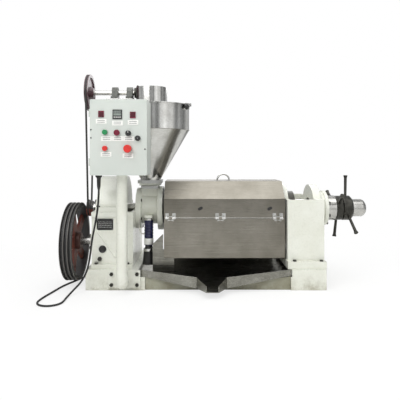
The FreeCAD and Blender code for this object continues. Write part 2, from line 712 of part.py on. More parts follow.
def belt_hull(name, inset, width, shift):
    """Solid inside the belt: two discs and the slab between their tangents."""
    low, high = f"(sheave_radius - {inset})", f"(feeder_pulley_radius - {inset})"
    span = "(feeder_height - shaft_height)"
    lean = f"(({low} - {high}) / {span})"
    reach = f"sqrt(1 - {lean}^2)"
    start = f"belt_plane + {shift}"
    lower = rod(name + "_low", low, width, (start, 0, "shaft_height"))
    upper = rod(name + "_high", high, width, (start, 0, "feeder_height"))
    slab = plate(name + "_slab",
                 [(f"-{low} * {reach}", f"{low} * {lean}"), (f"{low} * {reach}", f"{low} * {lean}"),
                  (f"{high} * {reach}", f"{span} + {high} * {lean}"),
                  (f"-{high} * {reach}", f"{span} + {high} * {lean}")],
                 width, (start, 0, "shaft_height"))
    return fuse(name, lower, upper, slab)


BEVEL_RADIUS = "(bevel_module * bevel_gear_teeth / 2)"
BEVEL_DEPTH = "(bevel_module * bevel_pinion_teeth / 2)"
PINION_BACK = f"({HOPPER_X} - {BEVEL_RADIUS})"


def feeder_shaft():
    """Cross shaft from the feeder pulley to the bevel pinion."""
    start = "(belt_plane - sheave_width / 2 - 12)"
    length = f"({PINION_BACK} + 6 - {start})"
    outline = [(0, 0), ("feeder_shaft_radius - 1", 0), ("feeder_shaft_radius", 1),
               ("feeder_shaft_radius", length), (0, length)]
    return turned("feeder_shaft", outline, (start, 0, "feeder_height"))


def bevel_pinion():
    """Small bevel gear on the cross shaft, a tooth straight down."""
    return bevel("bevel_pinion", "bevel_pinion_teeth", BEVEL_DEPTH, BEVEL_RADIUS, 16, 32,
                 "feeder_shaft_radius", (HOPPER_X, 0, "feeder_height"), "X",
                 "180 / bevel_pinion_teeth")


def bevel_gear():
    """Large bevel gear on top of the feeder auger, its hub on the bridge."""
    back = f"(feeder_height - {BEVEL_DEPTH} - {BRIDGE_TOP} - belt_gap)"
    return bevel("bevel_gear", "bevel_gear_teeth", BEVEL_RADIUS, BEVEL_DEPTH, back, 30,
                 "auger_shaft_radius", (HOPPER_X, 0, "feeder_height"), "Z", "180")


def bevel(name, teeth, pitch, depth, back, hub, bore, apex, axis, first_gap):
    """Bevel gear: a turned blank and one gap that narrows to the apex, repeated.

    Pitch is the pitch radius at the wide end, depth its distance from the apex.
    """
    slant = f"sqrt({pitch}^2 + {depth}^2)"
    sine, cosine = f"({pitch} / {slant})", f"({depth} / {slant})"
    share = f"(1 - bevel_face / {slant})"
    tip = (f"({pitch} + bevel_module * {cosine})", f"({depth} - bevel_module * {sine})")
    root = (f"({pitch} - 1.25 * bevel_module * {cosine})",
            f"({depth} + 1.25 * bevel_module * {sine})")
    outline = [(bore, f"-{depth} - {back}"), (hub, f"-{depth} - {back}"),
               (hub, f"-{root[1]} - 1.5"), (f"{root[0]} - 4", f"-{root[1]} - 1.5"),
               (root[0], f"-{root[1]}"), (tip[0], f"-{tip[1]}"),
               (f"{tip[0]} * {share}", f"-{tip[1]} * {share}"),
               (f"{root[0]} * {share}", f"-{root[1]} * {share}"),
               (bore, f"-{root[1]} * {share}")]
    body = DOC.addObject("PartDesign::Body", name)
    blank = body.newObject("PartDesign::Revolution", name + "_blank")
    blank.Profile = body_sketch(body, name + "_outline", "XZ_Plane", outline)
    blank.ReferenceAxis = (blank.Profile[0], ["V_Axis"])
    blank.Angle = 360
    ends = [bevel_gap(body, f"{name}_gap_{row}", teeth, (pitch, depth, cosine), scale, first_gap)
            for row, scale in enumerate((1.35, 0.55))]
    DOC.recompute()
    gap = body.newObject("PartDesign::SubtractiveLoft", name + "_gap")
    gap.Profile = ends[0]
    gap.Sections = [ends[1]]
    gap.Ruled = True
    pattern = body.newObject("PartDesign::PolarPattern", name + "_teeth")
    pattern.Originals = [gap]
    pattern.Axis = (ends[0], ["N_Axis"])
    pattern.Angle = 360
    bind(pattern, Occurrences=teeth)
    body.Tip = pattern
    return move(body, apex, AXES[axis])


def bevel_gap(body, name, teeth, cone_sizes, scale, angle):
    """Gap between two bevel teeth, square to the gear's axis, at a share of the depth."""
    pitch, depth, cosine = cone_sizes
    above = f"(tan(20) + 4.8 * {cosine} / {teeth})"
    below = f"(tan(20) - 2.3 * {cosine} / {teeth})"
    middle = f"(bevel_module * {math.pi / 4} + bevel_backlash)"
    rows = [(f"({pitch} - 1.25 * bevel_module / {cosine})",
             f"({middle} - 1.25 * bevel_module * {below})"),
            (pitch, middle),
            (f"({pitch} + 1.5 * bevel_module / {cosine})",
             f"({middle} + 1.5 * bevel_module * {above})")]
    outline = [(f"{radius} * {scale}", f"-{half} * {scale}") for radius, half in rows]
    outline += [(f"{radius} * {scale}", f"{half} * {scale}") for radius, half in reversed(rows)]
    sketch = body_sketch(body, name, "XY_Plane", outline)
    sketch.AttachmentOffset = FreeCAD.Placement(VEC(), FreeCAD.Rotation(VEC(0, 0, 1), 1))
    sketch.setExpression("AttachmentOffset.Rotation.Angle", formula(angle))
    sketch.setExpression("AttachmentOffset.Base.z", formula(f"-{depth} * {scale}"))
    return sketch


def feed_auger():
    """Upright shaft in the hopper with the flight that pushes seed down."""
    bottom = "(hopper_bottom + 4)"
    top = f"(feeder_height - {BEVEL_DEPTH} - 2)"
    shaft = turned("auger_shaft", [(0, 0), ("auger_shaft_radius - 3", 0),
                                   ("auger_shaft_radius", 3), ("auger_shaft_radius",
                                                               f"{top} - {bottom}"),
                                   (0, f"{top} - {bottom}")], (HOPPER_X, 0, bottom), "Z")
    helix = DOC.addObject("Part::Helix", "auger_line")
    bind(helix, Pitch="auger_pitch", Height="auger_pitch * 2", Radius="auger_shaft_radius")
    move(helix, (HOPPER_X, 0, f"{bottom} + 6"))
    outline = section("auger_flight_outline",
                      [("auger_shaft_radius - 1", -2), ("auger_radius", -1.5),
                       ("auger_radius", 1.5), ("auger_shaft_radius - 1", 2)],
                      (HOPPER_X, 0, f"{bottom} + 6"), "Y")
    return wound("feed_auger", shaft, swept("auger_flight", outline, helix))


def pillow_block(name, x):
    """Cast bearing housing on two feet, bored for the cross shaft."""
    width, half_foot, foot = 36, 70, 14
    drop = f"(feeder_height - {PEDESTAL_TOP})"
    outline = [(f"-{half_foot}", 0), (half_foot, 0), (half_foot, foot), (38, foot + 4),
               (34, f"{drop} + 10"), (24, f"{drop} + 26"), (10, f"{drop} + 34"),
               (-10, f"{drop} + 34"), (-24, f"{drop} + 26"), (-34, f"{drop} + 10"),
               (-38, foot + 4), (f"-{half_foot}", foot)]
    casting = plate(f"{name}_casting", outline, width, (f"{x} - {width / 2}", 0, PEDESTAL_TOP))
    hole = rod(f"{name}_bore", "feeder_shaft_radius + running_gap", width + 2,
               (f"{x} - {width / 2 + 1}", 0, "feeder_height"))
    return cut(name, casting, hole)


def pillow_blocks():
    """The two bearings of the cross shaft, side by side on their seat."""
    return group("pillow_blocks", pillow_block("left_block", f"{BRIDGE_START} + 45"),
                 pillow_block("right_block", f"{BRIDGE_START} + 137"))


PEDESTAL_TOP = "(feeder_height - 43)"
BRIDGE_START = f"({HOPPER_X} - hopper_radius - 26)"


def bearing_bridge():
    """Bar across the hopper's rim with the raised seat of the bearings."""
    start = BRIDGE_START
    bar = block("bridge_bar", ("2 * hopper_radius + 40", "bridge_width", "bridge_thick"),
                (start, "-bridge_width / 2", f"{BRIDGE_TOP} - bridge_thick"))
    seat = block("bridge_seat", (160, "bridge_width + 56", f"{PEDESTAL_TOP} - {BRIDGE_TOP}"),
                 (start, "-bridge_width / 2 - 28", BRIDGE_TOP))
    hole = rod("bridge_hole", "auger_shaft_radius + running_gap", "bridge_thick + 2",
               (HOPPER_X, 0, f"{BRIDGE_TOP} - bridge_thick - 1"), "Z")
    return cut("bearing_bridge", fuse("bridge_weldment", bar, seat), hole)


def gear_guard():
    """Round can over the bevel gears, slotted where the pinion comes in."""
    can = turned("guard_can",
                 [("guard_radius - sheet / 2", 0), ("guard_radius", 0),
                  ("guard_radius", "guard_height"), (0, "guard_height"),
                  (0, "guard_height - sheet / 2"),
                  ("guard_radius - sheet / 2", "guard_height - sheet / 2")],
                 (HOPPER_X, 0, BRIDGE_TOP), "Z")
    slot = block("guard_slot", (52, 116, "guard_height + 2"),
                 (f"{HOPPER_X} - guard_radius - 4", -58, f"{BRIDGE_TOP} - 1"))
    return cut("gear_guard", can, slot)


# --------------------------------------------------------- hopper and throat
def hopper():
    """Sheet funnel with a rolled rim, standing on a square flange."""
    neck, rim = "hopper_neck_radius", "hopper_radius"
    low, cone_top = "hopper_flange_thick", "(hopper_flange_thick + hopper_cone_height)"
    top = f"({cone_top} + hopper_wall_height)"
    outline = [(f"{neck} - sheet", 0), (neck, 0), (neck, low), (rim, cone_top),
               (rim, top), (f"{rim} + rim_radius", top), (f"{rim} + rim_radius",
                                                          f"{top} + rim_radius"),
               (f"{rim} - sheet", f"{top} + rim_radius"), (f"{rim} - sheet", f"{cone_top} + 1"),
               (f"{neck} - sheet", f"{low} + 1")]
    funnel = turned("hopper_funnel", outline, (HOPPER_X, 0, "hopper_bottom"), "Z")
    flange = block("hopper_flange_plate", ("hopper_flange", "hopper_flange",
                                           "hopper_flange_thick"),
                   (f"{HOPPER_X} - hopper_flange / 2", "-hopper_flange / 2", "hopper_bottom"))
    hole = rod("hopper_flange_hole", f"{neck} - sheet / 2", "hopper_flange_thick + 2",
               (HOPPER_X, 0, "hopper_bottom - 1"), "Z")
    return fuse("hopper", funnel, cut("hopper_flange_ring", flange, hole))


def throat_bolt_seats():
    """Seats of the bolts that hold the throat's left flange to the gearbox."""
    return ring_seats(f"{THROAT_X} + throat_flange_thick", "throat_left_radius - 14", 6, 30)


def throat_bolt_holes(name):
    """Their holes, on through the flange into the gearbox wall."""
    return fuse(name, *[rod(f"{name}_{row}", "bolt_radius + bolt_gap",
                            "throat_flange_thick + 8", seat, "-X")
                        for row, seat in enumerate(throat_bolt_seats())])


def throat():
    """Feed casting between gearbox and cage, with a square neck on top."""
    barrel = turned("throat_barrel",
                    [("cage_bore", 0), ("throat_left_radius", 0),
                     ("throat_left_radius", "throat_flange_thick"),
                     ("throat_barrel_radius", "throat_flange_thick + 6"),
                     ("throat_barrel_radius", "throat_length - throat_flange_thick - 6"),
                     ("throat_right_radius", "throat_length - throat_flange_thick"),
                     ("throat_right_radius", "throat_length"), ("cage_bore", "throat_length")],
                    (THROAT_X, 0, "shaft_height"))
    neck_height = "hopper_bottom - throat_plate_thick - shaft_height"
    neck = block("throat_neck", ("throat_length - 2 * throat_flange_thick - 0.5",
                                 "neck_width", neck_height),
                 (f"{THROAT_X} + throat_flange_thick", "-neck_width / 2", "shaft_height"))
    top = block("throat_top", ("throat_plate", "throat_plate", "throat_plate_thick"),
                (f"{HOPPER_X} - throat_plate / 2", "-throat_plate / 2",
                 "hopper_bottom - throat_plate_thick"))
    bore = rod("throat_bore", "cage_bore", "throat_length + 2",
               (f"{THROAT_X} - 1", 0, "shaft_height"))
    drop = rod("throat_drop", "feed_bore", "hopper_bottom - shaft_height + 1",
               (HOPPER_X, 0, "shaft_height"), "Z")
    slot = block("throat_slot", ("gate_width + 2 * gate_gap", "throat_plate + 2",
                                 "gate_thick + 2 * gate_gap"),
                 (f"{HOPPER_X} - gate_width / 2 - gate_gap", "-throat_plate / 2 - 1",
                  "hopper_bottom - gate_drop - gate_gap"))
    lug = block("throat_lug", (44, 70, 14), (f"{HOPPER_X} - 22", "-heater_forward - 29",
                                            "heater_top"))
    return cut("throat", fuse("throat_casting", barrel, neck, top, lug), bore, drop, slot,
               throat_bolt_holes("throat_holes"))


def feed_gate():
    """Sliding plate that shuts the feed, with a turned-down pull at the front."""
    plate_part = block("gate_plate", ("gate_width", "gate_length", "gate_thick"),
                       (f"{HOPPER_X} - gate_width / 2", "-throat_plate / 2 - 14",
                        "hopper_bottom - gate_drop"))
    pull = block("gate_pull", ("gate_width", 4, 16),
                 (f"{HOPPER_X} - gate_width / 2", "-throat_plate / 2 - 18",
                  "hopper_bottom - gate_drop - 11"))
    return fuse("feed_gate", plate_part, pull)


# ----------------------------------------------------------------- press cage
CAGE_OUTER = "(cage_bore + cage_bar_depth + cage_ring_depth)"


def press_cage():
    """Lengthwise bars set round the worm with narrow slits for the oil."""
    bars = []
    middle = "(cage_bore + cage_bar_depth / 2)"
    wide = f"(2 * {middle} * tan(180 / cage_bars) - 1.2)"
    for row in range(SIZES["cage_bars"]):
        bar = DOC.addObject("Part::Box", f"cage_bar_{row}")
        bind(bar, Length="cage_length", Width=wide, Height="cage_bar_depth - 0.4")
        angle = f"({row} * 360 / cage_bars)"
        bar.Placement = FreeCAD.Placement(VEC(), FreeCAD.Rotation(VEC(1, 0, 0), 1))
        bar.setExpression("Placement.Rotation.Angle", formula(angle))
        offset = f"{wide} / 2"
        move(bar, (CAGE_X, f"-(cage_bore + 0.2) * sin{angle} - {offset} * cos{angle}",
                   f"shaft_height + (cage_bore + 0.2) * cos{angle} - {offset} * sin{angle}"))
        bars.append(bar)
    return group("cage_bars", *bars)


def cage_rings():
    """Hoops that hold the cage bars together."""
    rings = []
    for row in range(SIZES["cage_rings"]):
        spacing = "((cage_length - cage_ring_width) / (cage_rings - 1))"
        outer = rod(f"cage_ring_{row}_outer", CAGE_OUTER, "cage_ring_width",
                    (f"{CAGE_X} + {row} * {spacing}", 0, "shaft_height"))
        inner = rod(f"cage_ring_{row}_inner", "cage_bore + cage_bar_depth + 0.5",
                    "cage_ring_width + 2",
                    (f"{CAGE_X} + {row} * {spacing} - 1", 0, "shaft_height"))
        rings.append(cut(f"cage_ring_{row}", outer, inner))
    return group("cage_rings", *rings)


# ----------------------------------------------------------------------- hood
def hood():
    """Folded sheet cover over the cage: back, roof with two slopes, front."""
    side, roof = "hood_half_width", "hood_roof_half"
    outline = [(side, "hood_bottom"), (side, "hood_shoulder"), (roof, "hood_top"),
               (f"-{roof}", "hood_top"), (f"-{side}", "hood_shoulder"),
               (f"-{side}", "hood_hinge_height"),
               (f"-{side} + hood_sheet", "hood_hinge_height"),
               (f"-{side} + hood_sheet", "hood_shoulder - 1"),
               (f"-{roof} + 1", "hood_top - hood_sheet"), (f"{roof} - 1", "hood_top - hood_sheet"),
               (f"{side} - hood_sheet", "hood_shoulder - 1"), (f"{side} - hood_sheet",
                                                               "hood_bottom")]
    sheet = plate("hood_sheet_metal", outline, "hood_length", ("hood_start", 0, 0))
    knuckles = []
    for row, x in enumerate(HINGE_PLACES):
        knuckles.append(knuckle(f"rear_{row}", (x, REAR_Y, REAR_Z), "hinge_length / 3"))
        knuckles.append(block(f"rear_leaf_{row}", ("hinge_length / 3", 2, "hinge_leaf"),
                              (f"{x} - hinge_length / 6", "hood_half_width", REAR_Z)))
    pins = [rod(f"rear_hole_{row}", "hinge_pin + running_gap", "hinge_length",
                (f"{x} - hinge_length / 2", REAR_Y, REAR_Z))
            for row, x in enumerate(HINGE_PLACES)]
    return cut("hood", fuse("hood_weldment", sheet, *knuckles), *pins)


def knuckle(name, place, length):
    """Barrel of one hinge leaf, centred on a place along X."""
    x, y, z = place
    return rod(f"{name}_knuckle", "hinge_knuckle", length, (f"{x} - {length} / 2", y, z))


def hood_rear_brackets():
    """Upright brackets on the back beam, with the pins the hood turns on."""
    brackets = []
    for row, x in enumerate(HINGE_PLACES):
        upright = block(f"bracket_{row}", ("bracket_width", "bracket_thick",
                                           f"{REAR_Z} - beam_height"),
                        (f"{x} - bracket_width / 2", f"{REAR_Y} + hinge_knuckle - bracket_thick",
                         "beam_height"))
        foot = block(f"bracket_foot_{row}", ("bracket_width", "bracket_width", "bracket_thick"),
                     (f"{x} - bracket_width / 2", f"{REAR_Y} + hinge_knuckle - bracket_thick",
                      "beam_height"))
        notch = rod(f"bracket_notch_{row}", "hinge_knuckle + 1", "hinge_length / 3 + 1",
                    (f"{x} - hinge_length / 6 - 0.5", REAR_Y, REAR_Z))
        pin = rod(f"bracket_pin_{row}", "hinge_pin", "hinge_length",
                  (f"{x} - hinge_length / 2", REAR_Y, REAR_Z))
        ends = [rod(f"bracket_knuckle_{row}_{side}", "hinge_knuckle", "hinge_length / 3 - 0.5",
                    (f"{x} {shift}", REAR_Y, REAR_Z))
                for side, shift in (("a", "- hinge_length / 2"), ("b", "+ hinge_length / 6 + 0.5"))]
        plate_part = cut(f"bracket_plate_{row}", fuse(f"bracket_angle_{row}", upright, foot), notch)
        brackets.append(fuse(f"bracket_all_{row}", plate_part, pin, *ends))
    return group("hood_rear_brackets", *brackets)


def hood_door():
    """Front flap that hangs from the hood on three hinges."""
    outline = [("-hood_half_width", "hood_bottom"),
               ("-hood_half_width + 12", "hood_bottom"),
               ("-hood_half_width + 12", "hood_bottom + hood_sheet"),
               ("-hood_half_width + hood_sheet", "hood_bottom + hood_sheet"),
               ("-hood_half_width + hood_sheet", "hood_hinge_height - 0.6"),
               ("-hood_half_width", "hood_hinge_height - 0.6")]
    sheet = plate("door_sheet_metal", outline, "hood_length", ("hood_start", 0, 0))
    parts, holes = [], []
    for row, x in enumerate(HINGE_PLACES):
        parts.append(knuckle(f"flap_{row}", (x, FRONT_Y, "hood_hinge_height"),
                             "(hinge_length / 3 - 1)"))
        parts.append(block(f"flap_leaf_{row}", ("hinge_length / 3 - 1", 2, "hinge_leaf"),
                           (f"{x} - (hinge_length / 3 - 1) / 2", "-hood_half_width - 2",
                            "hood_hinge_height - hinge_leaf")))
        holes.append(rod(f"flap_hole_{row}", "hinge_pin + running_gap", "hinge_length",
                         (f"{x} - hinge_length / 2", FRONT_Y, "hood_hinge_height")))
    return cut("hood_door", fuse("flap_weldment", sheet, *parts), *holes)


FRONT_Y = "(-hood_half_width - hinge_knuckle)"
REAR_Y = "(hood_half_width + hinge_knuckle)"
REAR_Z = "(hood_bottom + hinge_knuckle)"
HINGE_PLACES = [f"hood_start + hood_length * {share}" for share in (0.055, 0.467, 0.94)]


def front_hinges():
    """Pins and upper leaves of the three front hinges."""
    parts = []
    for row, x in enumerate(HINGE_PLACES):
        pin = rod(f"front_pin_{row}", "hinge_pin", "hinge_length",
                  (f"{x} - hinge_length / 2", FRONT_Y, "hood_hinge_height"))
        ends = []
        for side, shift in (("a", "- hinge_length / 2"), ("b", "+ hinge_length / 6")):
            start = f"{x} {shift}"
            ends.append(rod(f"front_knuckle_{row}_{side}", "hinge_knuckle", "hinge_length / 3",
                            (start, FRONT_Y, "hood_hinge_height")))
            ends.append(block(f"front_leaf_{row}_{side}", ("hinge_length / 3", 2, "hinge_leaf"),
                              (start, "-hood_half_width - 2", "hood_hinge_height")))
        parts.append(fuse(f"front_hinge_{row}", pin, *ends))
    return group("hood_front_hinges", *parts)


def hood_handle():
    """Bent round bar on the roof."""
    middle = "(hood_start + hood_length / 2 + 5)"
    ring = DOC.addObject("Part::Torus", "hood_handle")
    bind(ring, Radius1=38, Radius2=5)
    ring.Angle3 = 180
    ring.Placement = FreeCAD.Placement(VEC(), FreeCAD.Rotation(VEC(1, 0, 0), 90))
    move(ring, (middle, 0, "hood_top"))
    return ring


# ----------------------------------------------------------------------- tray
def oil_tray():
    """Sheet tray under the cage whose floor falls to a spout at the front."""
    tray = cut("tray_sheet", fuse("tray_outer", tray_loft("tray_skin", "0"), spout_loft("spout_skin",
                                                                                       "0")),
               fuse("tray_inner", tray_loft("tray_hollow", "sheet"),
                    spout_loft("spout_hollow", "sheet")))
    return fuse("oil_tray", tray, tray_baffle())


def tray_loft(name, wall):
    """Body of the tray, or its inside when a wall is given."""
    over = f"3 * {wall}"
    sections = []
    for row, (x, reach, top, bottom) in enumerate((
            (f"tray_start + {wall}", "tray_end_reach", "base_height",
             "base_height - tray_end_depth"),
            ("spout_centre - spout_width / 2", "tray_mid_reach", "tray_mid_top",
             "tray_mid_bottom"),
            ("spout_centre + spout_width / 2", "tray_mid_reach", "tray_mid_top",
             "tray_mid_bottom"),
            (f"tray_start + tray_length - {wall}", "tray_end_reach", "base_height",
             "base_height - tray_end_depth"))):
        front = "-base_width / 2 - 4"
        outline = [(f"-{reach} + {wall}", f"{bottom} + {wall}"),
                   (f"-{reach} + 12 + {wall}", f"{bottom} + {wall}"),
                   (f"tray_back - {wall}", f"base_height - 24 + {wall}"),
                   (f"tray_back - {wall}", f"base_height + {over}"),
                   (f"-{reach} + 30", f"{top} + {over}"),
                   (f"-{reach} + {wall}", f"{top} + {over}")]
        sections.append(section(f"{name}_{row}", outline, (x, 0, 0)))
    return loft(name, *sections)


def spout_loft(name, wall):
    """Narrowing lip that leads the oil forward, or its inside."""
    sections = []
    for row, (y, width, top, bottom) in enumerate((
            ("tray_mid_reach - 14", "spout_width", "tray_mid_top", "tray_mid_bottom"),
            (f"spout_reach + {wall} / 3", "spout_mouth", "tray_mid_top - 22",
             "tray_mid_bottom + 4"))):
        half = f"({width} / 2 - {wall})"
        outline = [(f"spout_centre - {half}", f"{bottom} + {wall}"),
                   (f"spout_centre + {half}", f"{bottom} + {wall}"),
                   (f"spout_centre + {half}", f"{top} + 2 * {wall}"),
                   (f"spout_centre - {half}", f"{top} + 2 * {wall}")]
        sections.append(section(f"{name}_{row}", outline, (0, f"-({y})", 0), "Y"))
    return loft(name, *sections)


def tray_baffle():
    """Upright sheet at the left end of the tray, its top corner cut off."""
    left, right, y = "(tray_start + 72)", "(tray_start + 198)", "(-182)"
    edge = "(hood_start - 6)"
    outline = [(left, tray_floor(left, y) + " + 1"), (right, tray_floor(right, y) + " + 1"),
               (right, "base_height + 100"), (edge, "base_height + 100"),
               (edge, "base_height + 190"), (left, "base_height + 130")]
    return plate("tray_baffle", outline, "sheet", (0, y, 0), "Y")


# ---------------------------------------------------------------- right stand
STAND_SEATS = [(x, y, "base_height + stand_foot")
               for x in (f"{STAND_X} + 42", f"{STAND_END} - 26")
               for y in ("-stand_width / 2 - 18", "stand_width / 2 + 18")]
COVER_SEATS = ring_seats(f"{COVER_X} + end_cover_thick", "end_cover_radius - 12", 8, 22.5)


def end_stand():
    """Casting that carries the cage's far end and the thrust bearing."""
    half = "stand_width / 2"
    length = "stand_length"
    foot = block("stand_foot_block", (length, "stand_width + 70", "stand_foot"),
                 (STAND_X, f"-{half} - 35", "base_height"))
    body = block("stand_body", (f"{length} - 10", "stand_width",
                                "stand_saddle_top - base_height"),
                 (f"{STAND_X} + 5", f"-{half}", "base_height"))
    disc = rod("stand_disc", "stand_disc_radius", "stand_disc_thick",
               (STAND_X, 0, "shaft_height"))
    ring = rod("stand_ring", "stand_ring_radius", "stand_ring_thick",
               (f"{STAND_END} - stand_ring_thick", 0, "shaft_height"))
    neck = rod("stand_neck", "stand_neck_radius", "stand_neck_length + 10",
               (f"{STAND_END} - 10", 0, "shaft_height"))
    room = block("stand_room", (f"{length} - stand_disc_thick - stand_ring_thick",
                                "stand_width - 2 * stand_wall", "2 * stand_width"),
                 (f"{STAND_X} + stand_disc_thick", f"-{half} + stand_wall",
                  "base_height + stand_foot"))
    return cut("end_stand", fuse("stand_casting", foot, body, disc, ring, neck), room,
               rod("stand_disc_bore", "cake_ring_radius - 10", "stand_disc_thick + 2",
                   (f"{STAND_X} - 1", 0, "shaft_height")),
               rod("stand_bearing_bore", "sleeve_radius + 1", "stand_length",
                   (f"{STAND_END} - stand_ring_thick - 1", 0, "shaft_height")),
               bolt_holes("stand_holes", STAND_SEATS, "Z"),
               cover_holes("stand_cover_holes"))


def cover_holes(name):
    """Holes of the end cover's bolts."""
    return bolt_holes(name, COVER_SEATS, "X")


def cake_ring():
    """Dark ring at the cage's mouth where the pressed cake comes out."""
    return turned("cake_ring",
                  [("nose_radius + 8", 0), ("cake_ring_radius - 10", 0),
                   ("cake_ring_radius - 10", "stand_disc_thick + 12"),
                   ("cake_ring_radius", "stand_disc_thick + 12"),
                   ("cake_ring_radius", "stand_disc_thick + 12 + cake_ring_length"),
                   ("nose_radius + 20", "stand_disc_thick + 12 + cake_ring_length")],
                  (STAND_X, 0, "shaft_height"))


def end_cover():
    """Cover that closes the thrust bearing and guides the adjusting sleeve."""
    return cut("end_cover",
               turned("end_cover_disc",
                      [("sleeve_radius + running_gap", 0), ("end_cover_radius", 0),
                       ("end_cover_radius", "end_cover_thick - 4"),
                       ("end_cover_radius - 4", "end_cover_thick"),
                       ("sleeve_radius + running_gap", "end_cover_thick")],
                      (COVER_X, 0, "shaft_height")),
               cover_holes("end_cover_holes"))


def guide_collar():
    """Threaded steel collar on the cover, in which the sleeve turns."""
    length = "(sleeve_show - 0.4)"
    return turned("guide_collar",
                  [("sleeve_radius + running_gap", 0), ("collar_radius", 0),
                   ("collar_radius", f"{length} - 3"), ("collar_radius - 3", length),
                   ("sleeve_radius + running_gap", length)],
                  (SLEEVE_X, 0, "shaft_height"))


def thrust_bearing():
    """Bearing between the shaft and the stand."""
    return turned("thrust_bearing",
                  [("nose_radius + running_gap", 0), ("sleeve_radius + 0.7", 0),
                   ("sleeve_radius + 0.7", 52), ("nose_radius + running_gap", 52)],
                  (f"{STAND_END} - stand_ring_thick + 4", 0, "shaft_height"))


# ------------------------------------------------------------- adjusting gear
def adjusting_head():
    """Threaded sleeve and lever head that set the gap at the cage's mouth."""
    bore, sleeve = "(nose_radius + 0.5)", "sleeve_radius"
    start = f"({COVER_X} - 20)"
    shoulder = f"({HEAD_X} - {start})"
    end = f"({shoulder} + head_width)"
    head = turned("adjusting_sleeve",
                  [(bore, 0), (sleeve, 0), (sleeve, shoulder), ("head_radius - 6", shoulder),
                   ("head_radius", f"{shoulder} + 6"), ("head_radius", f"{end} - 12"),
                   ("head_radius - 12", end), (bore, end)],
                  (start, 0, "shaft_height"))
    arms = levers("adjusting_lever", f"{HEAD_X} + head_width / 2 - 3", (-10, 130, 250),
                  "(head_radius - 8)", "lever_reach", 4)
    return fuse("adjusting_head", head, *arms)


def lock_nut():
    """Ring nut with three levers that locks the adjusting sleeve."""
    ring = turned("lock_nut_ring",
                  [("sleeve_radius + running_gap", 0), ("lock_nut_radius - 4", 0),
                   ("lock_nut_radius", 4), ("lock_nut_radius", "lock_nut_width - 5"),
                   ("lock_nut_radius - 4", "lock_nut_width - 1"),
                   ("sleeve_radius + running_gap", "lock_nut_width - 1")],
                  (LOCK_X, 0, "shaft_height"))
    arms = levers("lock_nut_lever", f"{LOCK_X} + lock_nut_width / 2", (180, 300, 60),
                  "(lock_nut_radius - 6)", "lock_lever_reach", -6)
    return fuse("lock_nut", ring, *arms)


def lever(name, x, angle, root, reach, lean):
    """Tapered round bar with a flared end, standing out of a ring."""
    bar = cone(name + "_bar", "lever_tip", "lever_root / 2 - 2", f"{reach} - {root}", (0, 0, root),
               "Z")
    knob = cone(name + "_end", "lever_root / 2 - 2", "lever_root / 2 + 2", 16, (0, 0, reach), "Z")
    piece = fuse(name, bar, knob)
    piece.Placement = FreeCAD.Placement(VEC(), FreeCAD.Rotation(VEC(1, 0, 0), angle)
                                        * FreeCAD.Rotation(VEC(0, 1, 0), lean))
    return move(piece, (x, 0, "shaft_height"))


def levers(name, x, angles, root, reach, lean):
    """Like levers of one ring, at angles from straight up."""
    return [lever(f"{name}_{row}", x, angle, root, reach, lean)
            for row, angle in enumerate(angles)]


# ---------------------------------------------------------- control box, post
BOX_RIGHT = "(box_left + box_width)"
BOX_BACK = "(box_front + box_depth)"


def control_post():
    """Pipe with a welded elbow and the flange that bolts to the bed."""
    height = "box_bottom - post_elbow_height"
    place = ("post_x", "-post_front", "post_elbow_height")
    pipe = rod("post_pipe", "post_radius", height, place, "Z")
    stub = rod("post_stub", "post_radius",
               "post_front - base_width / 2 - post_flange_thick / 2", place, "Y")
    bend = DOC.addObject("Part::Sphere", "post_bend")
    bind(bend, Radius="post_radius")
    move(bend, place)
    foot = block("post_foot", ("post_flange_width", "post_flange_thick", "post_flange_height"),
                 ("post_x - post_flange_width / 2", "-base_width / 2 - post_flange_thick",
                  "base_height - post_flange_height"))
    return cut("control_post", fuse("post_weldment", pipe, stub, bend, foot),
               bolt_holes("post_holes", POST_SEATS, "-Y"))


POST_SEATS = [(f"post_x {side} 72", "-base_width / 2 - post_flange_thick",
               f"base_height - post_flange_height / 2 {level} 30")
              for side in "-+" for level in "-+"]


def control_box():
    """Sheet box, open at the front where the door closes it."""
    outer = block("box_outer", ("box_width", "box_depth - door_thick - door_gap", "box_height"),
                  ("box_left", "box_front + door_thick + door_gap", "box_bottom"))
    inner = block("box_inner", ("box_width - 2 * box_wall",
                                "box_depth - door_thick - box_wall",
                                "box_height - 2 * box_wall"),
                  ("box_left + box_wall", "box_front + door_thick", "box_bottom + box_wall"))
    shell = cut("box_shell", outer, inner)
    holder = [fuse(f"box_hinge_{row}",
                   rod(f"box_pin_{row}", "knuckle / 2", 40, (BOX_HINGE_X, BOX_HINGE_Y, z), "Z"),
                   rod(f"box_knuckle_{row}", "knuckle", 19.5, (BOX_HINGE_X, BOX_HINGE_Y, z), "Z"),
                   block(f"box_hinge_leaf_{row}", ("knuckle + 0.5", 16, 19.5),
                         (BOX_HINGE_X, BOX_HINGE_Y, z)))
              for row, z in enumerate(BOX_HINGE_HEIGHTS)]
    return fuse("control_box", shell, *holder)


BOX_HINGE_X = "(box_left - knuckle - 0.5)"
BOX_HINGE_Y = "(box_front + door_thick)"
BOX_HINGE_HEIGHTS = ["box_bottom + 50", "box_bottom + box_height - 90"]


